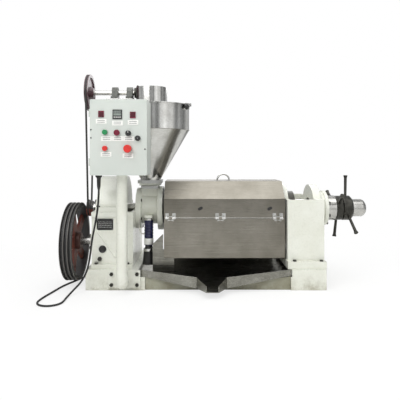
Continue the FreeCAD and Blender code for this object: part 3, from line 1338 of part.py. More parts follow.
def box_door():
    """Door with rounded edges, cut out for what it carries."""
    door = rounded_block("door_blank", ("box_width", "door_thick", "box_height"),
                         ("box_left", "box_front", "box_bottom"), "door_round", VEC(0, 1, 0))
    hollow = block("door_hollow", ("box_width - 16", "door_thick - 2", "box_height - 16"),
                   ("box_left + 8", "box_front + 2", "box_bottom + 8"))
    holes = [rod(f"door_hole_{name}", "11 + bolt_gap", 12, (x, "box_front - 4", z), "Y")
             for name, x, z in CONTROL_PLACES]
    windows = [block(f"door_window_{name}", (f"{wide} - 6 + 2 * bolt_gap", 12,
                                             f"{high} - 6 + 2 * bolt_gap"),
                     (f"{x} - {wide} / 2 + 3 - bolt_gap", "box_front - 4",
                      f"{z} - {high} / 2 + 3 - bolt_gap"))
               for name, x, z, wide, high in METER_PLACES]
    barrels = []
    for row, height in enumerate(BOX_HINGE_HEIGHTS):
        low = f"{height} + 20"
        barrels.append(cut(f"door_knuckle_{row}",
                           fuse(f"door_hinge_{row}",
                                rod(f"door_barrel_{row}", "knuckle", 20,
                                    (BOX_HINGE_X, BOX_HINGE_Y, low), "Z"),
                                block(f"door_leaf_{row}", ("knuckle + 0.5", 12, 20),
                                      (BOX_HINGE_X, f"{BOX_HINGE_Y} - 12", low))),
                           rod(f"door_pin_hole_{row}", "knuckle / 2 + running_gap", 22,
                               (BOX_HINGE_X, BOX_HINGE_Y, f"{low} - 1"), "Z")))
    return fuse("box_door", cut("door_panel", door, hollow, *holes, *windows), *barrels)


CONTROL_PLACES = [
    (name, f"box_left + {across}", f"box_bottom + {up}") for name, across, up in (
        ("start", 80, 227), ("run", 143, 224), ("selector", 203, 221), ("lock", 252, 195),
        ("stop", 80, 142), ("emergency", 201, 140))]
METER_PLACES = [
    (name, f"box_left + {across}", f"box_bottom + {up}", wide, high)
    for name, across, up, wide, high in (
        ("left", 60, 322, 30, 34), ("heat", 145, 320, 50, 50), ("right", 226, 317, 30, 34))]


def control_place(name):
    """Where one control stands on the door."""
    return next((x, z) for label, x, z in CONTROL_PLACES if label == name)


def door_control(name, outline):
    """Turned control that stands in one of the door's round holes."""
    x, z = control_place(name)
    return turned(name + "_turned", outline, (x, "box_front", z), "-Y")


def push_button(name, label, head, height):
    """Button whose stem runs through the door to its switch."""
    under = "bezel_height + button_travel + bolt_gap"
    piece = door_control(name, [(0, -30), (9, -30), (9, -3), (11, -3), (11, under), (head, under),
                                (head, height - 2), (head - 2, height), (0, height)])
    piece.Label = label
    return piece


def control_bezels():
    """Rings on the door round the foot of each control."""
    rings = []
    for name, x, z in CONTROL_PLACES:
        rings.append(turned(f"bezel_{name}", [("11 + bolt_gap", 0), (15, 0),
                                              (15, "bezel_height"),
                                              ("11 + bolt_gap", "bezel_height")], (x, "box_front", z), "-Y"))
    return group("control_bezels", *rings)


def meter(name, label, depth):
    """Panel instrument with a raised bezel in a square window of the door."""
    x, z, wide, high = next(row[1:] for row in METER_PLACES if row[0] == name)
    bezel = block(f"{label}_bezel", (wide, 4, high),
                  (f"{x} - {wide / 2}", "box_front - 4", f"{z} - {high / 2}"))
    case = block(f"{label}_case", (wide - 6, depth, high - 6),
                 (f"{x} - {wide / 2 - 3}", "box_front", f"{z} - {high / 2 - 3}"))
    return fuse(label, bezel, case)


# ------------------------------------------------------- heater plug and cord
def heater_parts():
    """Heater terminal under the throat: cap, ribbed body and skirt."""
    place = (HOPPER_X, "-heater_forward", "heater_top - 203")
    ribs = [(0, 40), (27, 40)]
    for row in range(8):
        ribs += [(27, 44 + row * 17), (25, 47 + row * 17), (25, 52 + row * 17),
                 (27, 55 + row * 17)]
    ribs += [(27, 188), (0, 188)]
    body = turned("heater_body", ribs, place, "Z")
    cap = turned("heater_cap", [(0, 188), (29, 188), (29, 200), (25, 203), (0, 203)], place, "Z")
    skirt = turned("heater_skirt", [(0, -74), (38, -74), (30, 2), (24, 4), (24, 18), (20, 40),
                                    (0, 40)], place, "Z")
    return body, cap, skirt


def cable_gland():
    """Gland and tapered strain relief under the control box."""
    return turned("cable_gland", [("cord_radius", 0), (18, 0), (18, 12), (13, 16), (11, 22),
                                  (10, 60), ("cord_radius + 1.5", 80), ("cord_radius", 80)],
                  ("box_left + 26", "box_front + 100", "box_bottom"), "-Z")


# the cord's route, chosen by hand: down from the gland, over the floor, and back
CORD_ROUTE = [
    (-589, -360, 579), (-590, -359, 530), (-597, -356, 462), (-611, -351, 385),
    (-630, -344, 300), (-641, -338, 215), (-653, -333, 150), (-672, -331, 98), (-699, -333, 56),
    (-729, -349, 26), (-746, -384, 8), (-748, -428, 6), (-746, -472, 6), (-749, -517, 6),
    (-778, -551, 6), (-822, -559, 6), (-861, -538, 6), (-879, -498, 6), (-876, -444, 6),
    (-864, -376, 6), (-849, -306, 6), (-836, -234, 6), (-815, -166, 6), (-788, -104, 6),
    (-764, -42, 6), (-744, 26, 6), (-730, 102, 6), (-722, 182, 6), (-704, 246, 6), (-676, 304, 6),
    (-640, 350, 6), (-631, 398, 6),
]


def cord_path(points):
    """Straight runs joined by tangent arcs, each as large as its runs allow."""
    edges = []
    start = VEC(*points[0])
    for before, corner, after in zip(points, points[1:], points[2:]):
        corner = VEC(*corner)
        inward, outward = corner - VEC(*before), VEC(*after) - corner
        reach = 0.45 * min(inward.Length, outward.Length)
        turn = inward.getAngle(outward)
        radius = reach / math.tan(turn / 2)
        inward.normalize()
        outward.normalize()
        first, last = corner - inward * reach, corner + outward * reach
        sag = radius / math.cos(turn / 2) - radius
        middle = corner + (outward - inward).normalize() * sag
        edges += [Part.LineSegment(start, first).toShape(), Part.Arc(first, middle, last).toShape()]
        print(f"cord turn {math.degrees(turn):5.1f} deg, radius {radius:6.1f} mm")
        start = last
    edges.append(Part.LineSegment(start, VEC(*points[-1])).toShape())
    return Part.Wire(edges)


def supply_cord():
    """Supply cord from the gland to where its coil begins."""
    path = cord_path(CORD_ROUTE)
    radius = number("cord_radius - 0.05")
    start = path.Edges[0]
    ring = Part.Circle(start.valueAt(start.FirstParameter),
                       start.tangentAt(start.FirstParameter), radius)
    tube = path.makePipeShell([Part.Wire(ring.toShape())], True, True)
    expected = math.pi * radius ** 2 * path.Length
    print(f"cord length {path.Length:.0f} mm, volume over section times length "
          f"{tube.Volume / expected:.4f}")
    piece = DOC.addObject("Part::Feature", "supply_cord")
    piece.Shape = tube
    return piece


def cord_coil():
    """Outer shape of the coiled rest of the cord."""
    inner, outer = "cord_coil_radius - 2 * cord_radius", "cord_coil_radius + 2 * cord_radius"
    high = "0.5 + 4 * cord_radius"
    return turned("cord_coil", [(inner, 0.5), (outer, 0.5), (outer, high), (inner, high)],
                  (-552, 402, 0), "Z")


def cord_plug():
    """Round plug on the cord's free end."""
    return turned("cord_plug", [(0, 0), (7, 0), (9, 22), (20, 34), (22, 60), (22, 78), (0, 78)],
                  (-510.8, 469.5, 22.3), "X")


# ------------------------------------------------------------------- assembly
def all_pieces():
    """Build every sub-part in turn."""
    buttons = [
        push_button("start", "start_button", 14, 15),
        push_button("run", "run_button", 16, 15),
        push_button("stop", "stop_button", 14, 15),
        push_button("emergency", "emergency_button", 21, 32),
        push_button("selector", "selector_knob", 15, 18),
        push_button("lock", "door_lock", 14.5, 12),
    ]
    meters = [meter("heat", "temperature_controller", 60),
              group("panel_meters", meter("left", "left_meter", 40),
                    meter("right", "right_meter", 40))]
    caps = group("bearing_caps",
                 bearing_cap("main_bearing_cap", 0, "shaft_height", "main_shaft_radius",
                             MAIN_CAP_SEATS),
                 bearing_cap("input_bearing_cap", "-input_offset", INPUT_Z,
                             "input_shaft_radius", INPUT_CAP_SEATS))
    fixings = group("fixing_bolts",
                    bolts("upright_bolts", GEARBOX_SEATS + JOINT_SEATS + STAND_SEATS, "Z"),
                    bolts("post_bolts", POST_SEATS, "-Y"), bolts("cover_bolts", COVER_SEATS, "X"),
                    bolts("cap_bolts", MAIN_CAP_SEATS + INPUT_CAP_SEATS, "-X"))
    return [
        base_frame(), gearbox_lower(), gearbox_upper(),
        caps, sight_glass(), drain_plug(), main_gear(), input_pinion(), worm_shaft(), press_worm(),
        input_shaft(), drive_pulley(),
        grooved_sheave("feeder_sheave", "sheave_radius", "main_shaft_radius", "shaft_height", 12),
        feeder_pulley(), feeder_belt(), feeder_shaft(), bevel_pinion(), bevel_gear(),
        feed_auger(), pillow_blocks(), bearing_bridge(), gear_guard(), hopper(), throat(), feed_gate(), press_cage(),
        cage_rings(), hood(), hood_door(), front_hinges(), hood_handle(), hood_rear_brackets(),
        oil_tray(), end_stand(), cake_ring(), end_cover(), guide_collar(), thrust_bearing(),
        adjusting_head(), lock_nut(), control_post(), control_box(),
        box_door(), *buttons, *meters, *heater_parts(), cable_gland(), supply_cord(),
        cord_coil(), cord_plug(), fixings, control_bezels(),
    ]


def check(piece):
    """Stop if a piece failed to build."""
    shape = piece.Shape
    if shape.isNull() or not shape.isValid():
        raise RuntimeError(f"{piece.Label} has no valid shape")


def main():
    """Build the machine, check it and write one file for each sub-part."""
    fill_sheet()
    pieces = all_pieces()
    DOC.recompute()
    failed = [item.Name for item in DOC.Objects
              if {"Invalid", "Error"} & set(item.State)]
    if failed:
        raise RuntimeError("these objects failed: " + ", ".join(failed))
    os.makedirs("parts", exist_ok=True)
    for piece in pieces:
        check(piece)
        piece.Shape.exportStep(os.path.join("parts", piece.Label + ".step"))
    print(len(pieces), "sub-parts written")


main()
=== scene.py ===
"""Finishes, trim and setting of the screw oil press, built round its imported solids."""
import logging
import math
from dataclasses import dataclass
from enum import Enum

import bmesh
import bpy
from mathutils import Matrix, Vector


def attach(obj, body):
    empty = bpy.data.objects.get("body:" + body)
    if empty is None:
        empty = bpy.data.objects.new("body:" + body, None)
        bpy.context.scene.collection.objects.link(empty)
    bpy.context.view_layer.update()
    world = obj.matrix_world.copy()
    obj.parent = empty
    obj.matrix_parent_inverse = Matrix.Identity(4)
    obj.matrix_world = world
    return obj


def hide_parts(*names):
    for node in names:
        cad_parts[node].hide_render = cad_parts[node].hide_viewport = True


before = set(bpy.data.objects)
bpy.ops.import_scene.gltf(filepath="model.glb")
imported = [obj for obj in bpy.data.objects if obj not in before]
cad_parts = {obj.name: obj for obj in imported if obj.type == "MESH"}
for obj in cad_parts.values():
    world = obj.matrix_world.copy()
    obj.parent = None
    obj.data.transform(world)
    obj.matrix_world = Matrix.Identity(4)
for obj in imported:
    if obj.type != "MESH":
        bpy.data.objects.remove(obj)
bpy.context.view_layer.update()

LOG = logging.getLogger("oil_press")
MM = 0.001
Point = tuple[float, float, float]


# ---------------------------------------------------------------- small helpers
def linear(code: str, alpha: float = 1.0) -> tuple[float, float, float, float]:
    """Turn an sRGB hex colour into the linear values that a shader takes.

    Args:
        code: Six hex digits.
        alpha: Opacity to carry along.

    Returns:
        Red, green, blue and alpha.
    """
    parts = [int(code[place:place + 2], 16) / 255 for place in (0, 2, 4)]
    bright = [part / 12.92 if part <= 0.04045 else ((part + 0.055) / 1.055) ** 2.4
              for part in parts]
    return bright[0], bright[1], bright[2], alpha


def add(tree: bpy.types.NodeTree, kind: str, links: dict | None = None,
        **settings: object) -> bpy.types.Node:
    """Add a node with its settings and what feeds it.

    Args:
        tree: Tree that takes the node.
        kind: Blender's name of the node type.
        links: Input name or number to the output socket that feeds it.
        settings: Properties of the node, or default values of its inputs by name.

    Returns:
        The new node.
    """
    node = tree.nodes.new(kind)
    for name, value in settings.items():
        if hasattr(node, name):
            setattr(node, name, value)
        else:
            node.inputs[name.replace("_", " ")].default_value = value
    for name, source in (links or {}).items():
        tree.links.new(source, node.inputs[name])
    return node


def mix(tree: bpy.types.NodeTree, share: bpy.types.NodeSocket, first: object,
        second: object) -> bpy.types.NodeSocket:
    """Mix two colours.

    Args:
        tree: The material's tree.
        share: Socket that says how much of the second shows.
        first: Colour values or a socket.
        second: Colour values or a socket.

    Returns:
        The mixed colour's socket.
    """
    node = add(tree, "ShaderNodeMix", {0: share}, data_type="RGBA")
    colour_inputs, colour_output = (6, 7), 2
    for index, value in zip(colour_inputs, (first, second)):
        if isinstance(value, tuple):
            node.inputs[index].default_value = value
        else:
            tree.links.new(value, node.inputs[index])
    return node.outputs[colour_output]


def metres(*millimetres: float) -> Vector:
    """Return a place given in millimetres as a vector in metres."""
    return Vector([value * MM for value in millimetres])


class Axis(Enum):
    """Direction in which a round piece points."""

    RIGHT = (1, 0, 0)
    FRONT = (0, -1, 0)
    UP = (0, 0, 1)

    def turn(self) -> Matrix:
        """Return the turn that takes +Z to this direction."""
        return Vector((0, 0, 1)).rotation_difference(Vector(self.value)).to_matrix().to_4x4()


class Grain(Enum):
    """How a surface was made, as the stretch of its fine pattern along X, Y and Z."""

    PLAIN = (1.0, 1.0, 1.0)
    BRUSHED_ALONG = (0.02, 1.0, 1.0)
    TURNED = (1.0, 0.05, 0.05)


# --------------------------------------------------------------------- finishes
@dataclass(frozen=True)
class Finish:
    """One surface finish: its colours, its gloss and the detail that it shows.

    Attributes:
        title: Material name, after what the surface really is.
        slot: The record's slot that it belongs to; not used.
        colour: Main colour in sRGB hex.
        second: Colour of the darker or more worn places.
        blotch: Size of the colour's soft variation in millimetres.
        share: How far the variation goes towards the second colour.
        rough: Least and most roughness.
        metallic: 1 for bare metal.
        grain: How the surface was worked.
        grit: Size of the fine texture in millimetres.
        bump: Height of the fine texture in millimetres.
        edge: Colour that shows where edges are worn, or an empty string.
        edge_width: How wide the worn or rounded edge is, in millimetres.
        coat: Clear top layer of enamel or moulded gloss.
        soil: Colour of the dust and oil low on the piece, or an empty string.
        soil_top: Height in millimetres at which that soil ends.
        clear: Share of light that passes through.
    """

    title: str
    slot: str
    colour: str
    second: str
    blotch: float = 120.0
    share: float = 0.5
    rough: tuple[float, float] = (0.3, 0.45)
    metallic: float = 0.0
    grain: Grain = Grain.PLAIN
    grit: float = 2.0
    bump: float = 0.1
    edge: str = ""
    edge_width: float = 2.0
    coat: float = 0.0
    soil: str = ""
    soil_top: float = 120.0
    clear: float = 0.0

    def make(self) -> bpy.types.Material:
        """Build the finish as a node material.

        Returns:
            The material, with one slot's look.
        """
        material = bpy.data.materials.new(self.title)
        material.use_nodes = True
        tree = material.node_tree
        tree.nodes.clear()
        place = add(tree, "ShaderNodeTexCoord").outputs["Object"]
        stretch = add(tree, "ShaderNodeMapping", {"Vector": place}, Scale=self.grain.value)
        soft = add(tree, "ShaderNodeTexNoise", {"Vector": place}, Scale=1000 / self.blotch,
                   Detail=5.0, Roughness=0.62)
        fine = add(tree, "ShaderNodeTexNoise", {"Vector": stretch.outputs[0]},
                   Scale=1000 / self.grit, Detail=3.0, Roughness=0.7)
        spread = add(tree, "ShaderNodeMapRange", {"Value": soft.outputs["Fac"]},
                     From_Min=0.35, From_Max=0.68, To_Min=0.0, To_Max=self.share)
        colour = mix(tree, spread.outputs[0], linear(self.colour), linear(self.second))
        colour = self.with_streaks(tree, colour, fine)
        colour = self.with_soil(tree, colour, place)
        normal = add(tree, "ShaderNodeBevel", samples=4, Radius=self.edge_width * MM)
        if self.edge:
            colour = self.with_edges(tree, colour, normal, soft)
        gloss = add(tree, "ShaderNodeMapRange", {"Value": fine.outputs["Fac"]},
                    From_Min=0.3, From_Max=0.7, To_Min=self.rough[0], To_Max=self.rough[1])
        relief = add(tree, "ShaderNodeBump", {"Height": fine.outputs["Fac"],
                                              "Normal": normal.outputs[0]},
                     Strength=0.6, Distance=self.bump * MM)
        shader = add(tree, "ShaderNodeBsdfPrincipled",
                     {"Base Color": colour, "Roughness": gloss.outputs[0],
                      "Normal": relief.outputs[0]},
                     Metallic=self.metallic, Coat_Weight=self.coat, Coat_Roughness=0.12,
                     Transmission_Weight=self.clear)
        add(tree, "ShaderNodeOutputMaterial", {"Surface": shader.outputs[0]})
        return material

    def with_streaks(self, tree: bpy.types.NodeTree, colour: bpy.types.NodeSocket,
                     fine: bpy.types.Node) -> bpy.types.NodeSocket:
        """Let brushed or turned grain show in the colour.

        Args:
            tree: The material's tree.
            colour: Colour so far.
            fine: Noise node of the grain.

        Returns:
            The colour with its grain.
        """
        amount = 0.0 if self.grain is Grain.PLAIN else 0.35
        shade = add(tree, "ShaderNodeMapRange", {"Value": fine.outputs["Fac"]},
                    From_Min=0.4, From_Max=0.75, To_Min=0.0, To_Max=amount)
        return mix(tree, shade.outputs[0], colour, linear(self.second))

    def with_soil(self, tree: bpy.types.NodeTree, colour: bpy.types.NodeSocket,
                  place: bpy.types.NodeSocket) -> bpy.types.NodeSocket:
        """Lay dust and oil over the lowest part of a machine that works on a floor.

        Args:
            tree: The material's tree.
            colour: Colour so far.
            place: The object's own coordinates.

        Returns:
            The colour with its soil, which thins out with height.
        """
        if not self.soil:
            return colour
        height = add(tree, "ShaderNodeSeparateXYZ", {0: place}).outputs["Z"]
        low = add(tree, "ShaderNodeMapRange", {"Value": height}, From_Min=self.soil_top * MM,
                  From_Max=0.0, To_Min=0.0, To_Max=1.0)
        patch = add(tree, "ShaderNodeTexNoise", {"Vector": place}, Scale=14.0, Detail=6.0,
                    Roughness=0.75)
        sharp = add(tree, "ShaderNodeMapRange", {"Value": patch.outputs["Fac"]}, From_Min=0.42,
                    From_Max=0.7, To_Min=0.05, To_Max=0.75)
        both = add(tree, "ShaderNodeMath", {0: low.outputs[0], 1: sharp.outputs[0]},
                   operation="MULTIPLY")
        return mix(tree, both.outputs[0], colour, linear(self.soil))

    def with_edges(self, tree: bpy.types.NodeTree, colour: bpy.types.NodeSocket,
                   normal: bpy.types.Node, soft: bpy.types.Node) -> bpy.types.NodeSocket:
        """Wear the finish thin on edges, where a rounded normal leaves the true one.

        Args:
            tree: The material's tree.
            colour: Colour so far.
            normal: Bevel node that rounds the edges.
            soft: Noise node that makes the wear patchy.

        Returns:
            The colour with its worn edges.
        """
        true = add(tree, "ShaderNodeNewGeometry").outputs["Normal"]
        dot = add(tree, "ShaderNodeVectorMath", {0: normal.outputs[0], 1: true},
                  operation="DOT_PRODUCT")
        worn = add(tree, "ShaderNodeMapRange", {"Value": dot.outputs["Value"]}, From_Min=0.98,
                   From_Max=0.86, To_Min=0.0, To_Max=1.0)
        patchy = add(tree, "ShaderNodeMapRange", {"Value": soft.outputs["Fac"]}, From_Min=0.45,
                     From_Max=0.62, To_Min=0.1, To_Max=0.8)
        both = add(tree, "ShaderNodeMath", {0: worn.outputs[0], 1: patchy.outputs[0]},
                   operation="MULTIPLY")
        return mix(tree, both.outputs[0], colour, linear(self.edge))


# gloss enamel brushed over cast iron and plate: warm white, slightly wavy, chipped on corners
WHITE_ENAMEL = Finish("enamel_on_cast_iron", "white_enamel", "E9EAE0", "D5D6C6", 160, 0.55,
                      (0.22, 0.4), grit=9, bump=0.35, edge="B9B39A", edge_width=2.5, coat=0.35,
                      soil="8C8468", soil_top=110)
# powder coat on sheet: cool grey-green, fine orange peel, even satin
BOX_COAT = Finish("powder_coated_sheet", "box_paint", "CCD1CB", "C0C7C0", 200, 0.5, (0.38, 0.5),
                  grit=1.6, bump=0.06, edge="E4E9E4", edge_width=1.5)
# brushed 304 sheet: the hood, grey-brown with oil film and grain along the press
HOOD_SHEET = Finish("brushed_stainless_hood", "stainless", "938F86", "6E6A60", 260, 0.8,
                    (0.24, 0.4), 1.0, Grain.BRUSHED_ALONG, 3.0, 0.04, "CFCFCB", 1.5)
# brighter rolled stainless of hopper and guard: soft mirror with broad streaks
HOPPER_SHEET = Finish("rolled_stainless_hopper", "stainless", "CDCDCA", "9E9C96", 120, 0.6,
                      (0.16, 0.26), 1.0, Grain.BRUSHED_ALONG, 6.0, 0.03, "E6E6E4", 1.5)
# tray sheet: the same stainless, dulled and brown with oil
TRAY_SHEET = Finish("oiled_stainless_tray", "stainless", "989790", "66645B", 150, 0.8,
                    (0.2, 0.4), 1.0, Grain.BRUSHED_ALONG, 4.0, 0.05, "C4C3BE", 1.5)
# ground shaft steel: bright, fine rings round the shaft
SHAFT_STEEL = Finish("ground_shaft_steel", "polished_steel", "C3C2BE", "8D8B86", 60, 0.45,
                     (0.16, 0.3), 1.0, Grain.TURNED, 1.5, 0.04, "E0DFDA", 1.0)
# machined gear steel with an oil film
GEAR_STEEL = Finish("machined_gear_steel", "gear_steel", "8C8B86", "5B574E", 70, 0.6,
                    (0.25, 0.42), 1.0, Grain.PLAIN, 1.2, 0.05, "C8C6C0", 1.0)
# blackened forged steel of nuts and levers: dark, bare on corners
DARK_STEEL = Finish("blackened_forged_steel", "dark_steel", "4A4944", "23221F", 50, 0.7,
                    (0.3, 0.5), 0.85, Grain.PLAIN, 2.5, 0.12, "A09E98", 1.6)
# grey cast iron of the bearing blocks, painted thin
CAST_GREY = Finish("grey_cast_iron", "cast_grey", "6E706C", "3F3C36", 40, 0.7, (0.45, 0.62), 0.5,
                   Grain.PLAIN, 2.0, 0.25, "9C9A92", 1.5)
# bright zinc plating of fasteners and handles
ZINC = Finish("zinc_plated_steel", "chrome_parts", "D2D2D0", "A5A49C", 30, 0.5, (0.15, 0.3), 1.0,
              Grain.PLAIN, 1.2, 0.04, "F0F0EE", 0.8)
# maroon lacquer of the feeder wheel
MAROON = Finish("maroon_lacquer_on_iron", "maroon_paint", "4C2630", "2A1318", 60, 0.6,
                (0.28, 0.45), 0.0, Grain.PLAIN, 3.0, 0.12, "7A6258", 1.5, 0.2)
# moulded belt rubber: dull black with a dusty bloom
BELT_RUBBER = Finish("moulded_belt_rubber", "belt_rubber", "1F1F1E", "3A3836", 45, 0.6,
                     (0.6, 0.78), 0.0, Grain.PLAIN, 1.0, 0.08)
# extruded rubber sheath of the supply cord
CORD_RUBBER = Finish("extruded_rubber_sheath", "cord_rubber", "1A1A1A", "302F2D", 60, 0.5,
                     (0.5, 0.66), 0.0, Grain.PLAIN, 1.2, 0.05)
# pressed glass of the oil level window over amber oil
OIL_WINDOW = Finish("oil_sight_window", "clear_window", "C9C79A", "8E8450", 20, 0.6,
                    (0.05, 0.12), 0.0, Grain.PLAIN, 4.0, 0.02, clear=0.35)
# moulded switch plastics: saturated, glossy, faint moulding texture
GREEN_ABS = Finish("moulded_green_switch", "green_plastic", "1E8A50", "14633A", 25, 0.4,
                   (0.22, 0.34), grit=1.0, bump=0.02, edge="5DB889", edge_width=0.8, coat=0.3)
RED_ABS = Finish("moulded_red_switch", "red_plastic", "D8342C", "A8231E", 25, 0.4, (0.22, 0.34),
                 grit=1.0, bump=0.02, edge="EE7A70", edge_width=0.8, coat=0.3)
WINE_ABS = Finish("moulded_wine_switch", "dark_red_plastic", "7A1030", "4A0A1E", 25, 0.45,
                  (0.18, 0.3), grit=1.0, bump=0.02, edge="A8476A", edge_width=0.8, coat=0.3)
BLACK_ABS = Finish("moulded_black_plastic", "black_plastic", "1D1D1D", "2E2D2C", 30, 0.6,
                   (0.36, 0.5), grit=0.8, bump=0.03, edge="4C4B4A", edge_width=0.8)
NAVY_ABS = Finish("moulded_navy_housing", "navy_plastic", "1A1C48", "10112E", 35, 0.6,
                  (0.26, 0.4), grit=1.2, bump=0.04, edge="3C4A8C", edge_width=1.0, coat=0.2)
# printed label film: matte white, slightly grey with handling
LABEL_FILM = Finish("printed_label_film", "white_enamel", "F2F2EE", "DEDDD6", 20, 0.5, (0.5, 0.6),
                    grit=1.0, bump=0.01)
# dark red filter glass of the panel meters
METER_GLASS = Finish("dark_red_meter_glass", "dark_red_plastic", "4E0A1C", "36060F", 20, 0.4,
                     (0.08, 0.16), grit=3.0, bump=0.01, coat=0.5)
# grey print that stands for lines of small type
LABEL_INK = Finish("grey_label_print", "black_plastic", "7C7F80", "5F6263", 6, 0.6, (0.55, 0.65),
                   grit=1.0, bump=0.01)
# grey liquid-crystal window
DISPLAY = Finish("grey_display_window", "black_plastic", "8E9790", "747C76", 20, 0.4,
                 (0.12, 0.2), grit=3.0, bump=0.01, coat=0.5)
# lit segments of the controller
DIGITS = Finish("dark_display_segments", "black_plastic", "23282A", "1A1E20", 10, 0.3, (0.3, 0.4))
# white silicone leads of the heater
LEAD_SHEATH = Finish("white_silicone_lead", "white_enamel", "E6E4DC", "C8C2B2", 25, 0.6,
                     (0.45, 0.6), grit=1.0, bump=0.02)
# enamel of the bed's long side under the tray: grey partly from oil mist and dust, partly painted
# shade of the tray above it
OILED_SHADED_ENAMEL = Finish("oil_misted_enamel_painted_shade", "white_enamel", "A9A897", "7F7C66", 180, 0.9,
                       (0.35, 0.55), grit=8, bump=0.3, coat=0.1, soil="6E6850", soil_top=90)


@dataclass(frozen=True)
class PulleyFinish:
    """Cast pulley: black rim, red-brown primer on the spokes, bare metal in the grooves.

    Attributes:
        title: Material name.
        centre: Wheel centre in millimetres.
        rim: Radius at which the black rim begins.
        hub: Radius of the darker, oily hub.
        worn: Radius from which the rim shows belt polish.
    """

    title: str = "cast_pulley_paint"
    centre: Point = (-775.0, -138.0, 256.1)
    rim: float = 200.0
    hub: float = 54.0
    worn: float = 224.0

    def make(self) -> bpy.types.Material:
        """Build the material, its colour ruled by the distance from the wheel's axis."""
        base = Finish(self.title, "pulley_paint", "74382B", "4E241B", 70, 0.8, (0.4, 0.6),
                      grit=3, bump=0.25, edge="9A7A68", edge_width=2)
        material = base.make()
        tree = material.node_tree
        shader = next(node for node in tree.nodes if node.type == "BSDF_PRINCIPLED")
        brown = shader.inputs["Base Color"].links[0].from_socket
        place = add(tree, "ShaderNodeTexCoord").outputs["Object"]
        from_axis = add(tree, "ShaderNodeMapping", {"Vector": place},
                        Location=metres(0, -self.centre[1], -self.centre[2]), Scale=(0, 1, 1))
        distance = add(tree, "ShaderNodeVectorMath", {0: from_axis.outputs[0]},
                       operation="LENGTH").outputs["Value"]
        rim = self.band(tree, distance, self.rim, 2.0)
        dark = mix(tree, rim, brown, linear("2B2A2A"))
        polish = self.band(tree, distance, self.worn, 1.0)
        dark = mix(tree, polish, dark, linear("5A5754"))
        hub = add(tree, "ShaderNodeMapRange", {"Value": distance}, From_Min=(self.hub + 3) * MM,
                  From_Max=self.hub * MM, To_Min=0.0, To_Max=0.7)
        tree.links.new(mix(tree, hub.outputs[0], dark, linear("3A2A24")),
                       shader.inputs["Base Color"])
        return material

    def band(self, tree: bpy.types.NodeTree, distance: bpy.types.NodeSocket, radius: float,
             blur: float) -> bpy.types.NodeSocket:
        """Return a socket that is 1 beyond a radius in millimetres, over a short blur."""
        return add(tree, "ShaderNodeMapRange", {"Value": distance}, From_Min=(radius - blur) * MM,
                   From_Max=(radius + blur) * MM, To_Min=0.0, To_Max=1.0).outputs[0]


@dataclass(frozen=True)
class StageFinish:
    """Pale floor and backdrop that camera and reflections see as plain white."""

    title: str = "studio_floor_paint"
    colour: str = "F7F7F5"

    def make(self) -> bpy.types.Material:
        """Build a matte floor that keeps the object's shadow."""
        material = bpy.data.materials.new(self.title)
        material.use_nodes = True
        tree = material.node_tree
        tree.nodes.clear()
        matte = add(tree, "ShaderNodeBsdfDiffuse", Color=linear(self.colour))
        white = add(tree, "ShaderNodeEmission", Color=linear("FFFFFF"), Strength=1.0)
        path = add(tree, "ShaderNodeLightPath")
        place = add(tree, "ShaderNodeTexCoord").outputs["Object"]
        reach = add(tree, "ShaderNodeVectorMath", {0: place}, operation="LENGTH")
        fade = add(tree, "ShaderNodeMapRange", {"Value": reach.outputs["Value"]}, From_Min=0.9,
                   From_Max=1.9, To_Min=0.72, To_Max=1.0)
        share = add(tree, "ShaderNodeMath", {0: path.outputs["Is Camera Ray"],
                                             1: fade.outputs[0]}, operation="MULTIPLY")
        mixed = add(tree, "ShaderNodeMixShader", {0: share.outputs[0], 1: matte.outputs[0],
                                                  2: white.outputs[0]})
        add(tree, "ShaderNodeOutputMaterial", {"Surface": mixed.outputs[0]})
        return material


class Palette:
    """Materials by finish, each built once."""

    def __init__(self) -> None:
        """Start with no material made."""
        self.made: dict[str, bpy.types.Material] = {}

    def get(self, finish: Finish | PulleyFinish | StageFinish) -> bpy.types.Material:
        """Return a finish's material, built on first use."""
        if finish.title not in self.made:
            self.made[finish.title] = finish.make()
        return self.made[finish.title]


PALETTE = Palette()


# ----------------------------------------------------------------- mesh making
def as_piece(name: str, mesh: bpy.types.Mesh, finish: Finish, body: str,
             smooth: bool = False) -> bpy.types.Object:
    """Put a finished mesh in the scene as a piece of the machine.

    Args:
        name: The piece's name.
        mesh: Its mesh, in the machine's own frame.
        finish: What it is made of.
        body: The body that it rides on.
        smooth: Whether its faces shade smoothly.

    Returns:
        The piece.
    """
    piece = bpy.data.objects.new(name, mesh)
    bpy.context.scene.collection.objects.link(piece)
    if not mesh.materials:
        mesh.materials.append(PALETTE.get(finish))
    for face in mesh.polygons:
        face.use_smooth = smooth
    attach(piece, body)
    LOG.info("made %s on %s", name, body)
    return piece


def close(build: bmesh.types.BMesh, name: str) -> bpy.types.Mesh:
    """Turn a mesh under construction into mesh data with faces pointing outwards."""
    bmesh.ops.remove_doubles(build, verts=build.verts, dist=1e-6)
    bmesh.ops.recalc_face_normals(build, faces=build.faces)
    mesh = bpy.data.meshes.new(name)
    build.to_mesh(mesh)
    build.free()
    return mesh


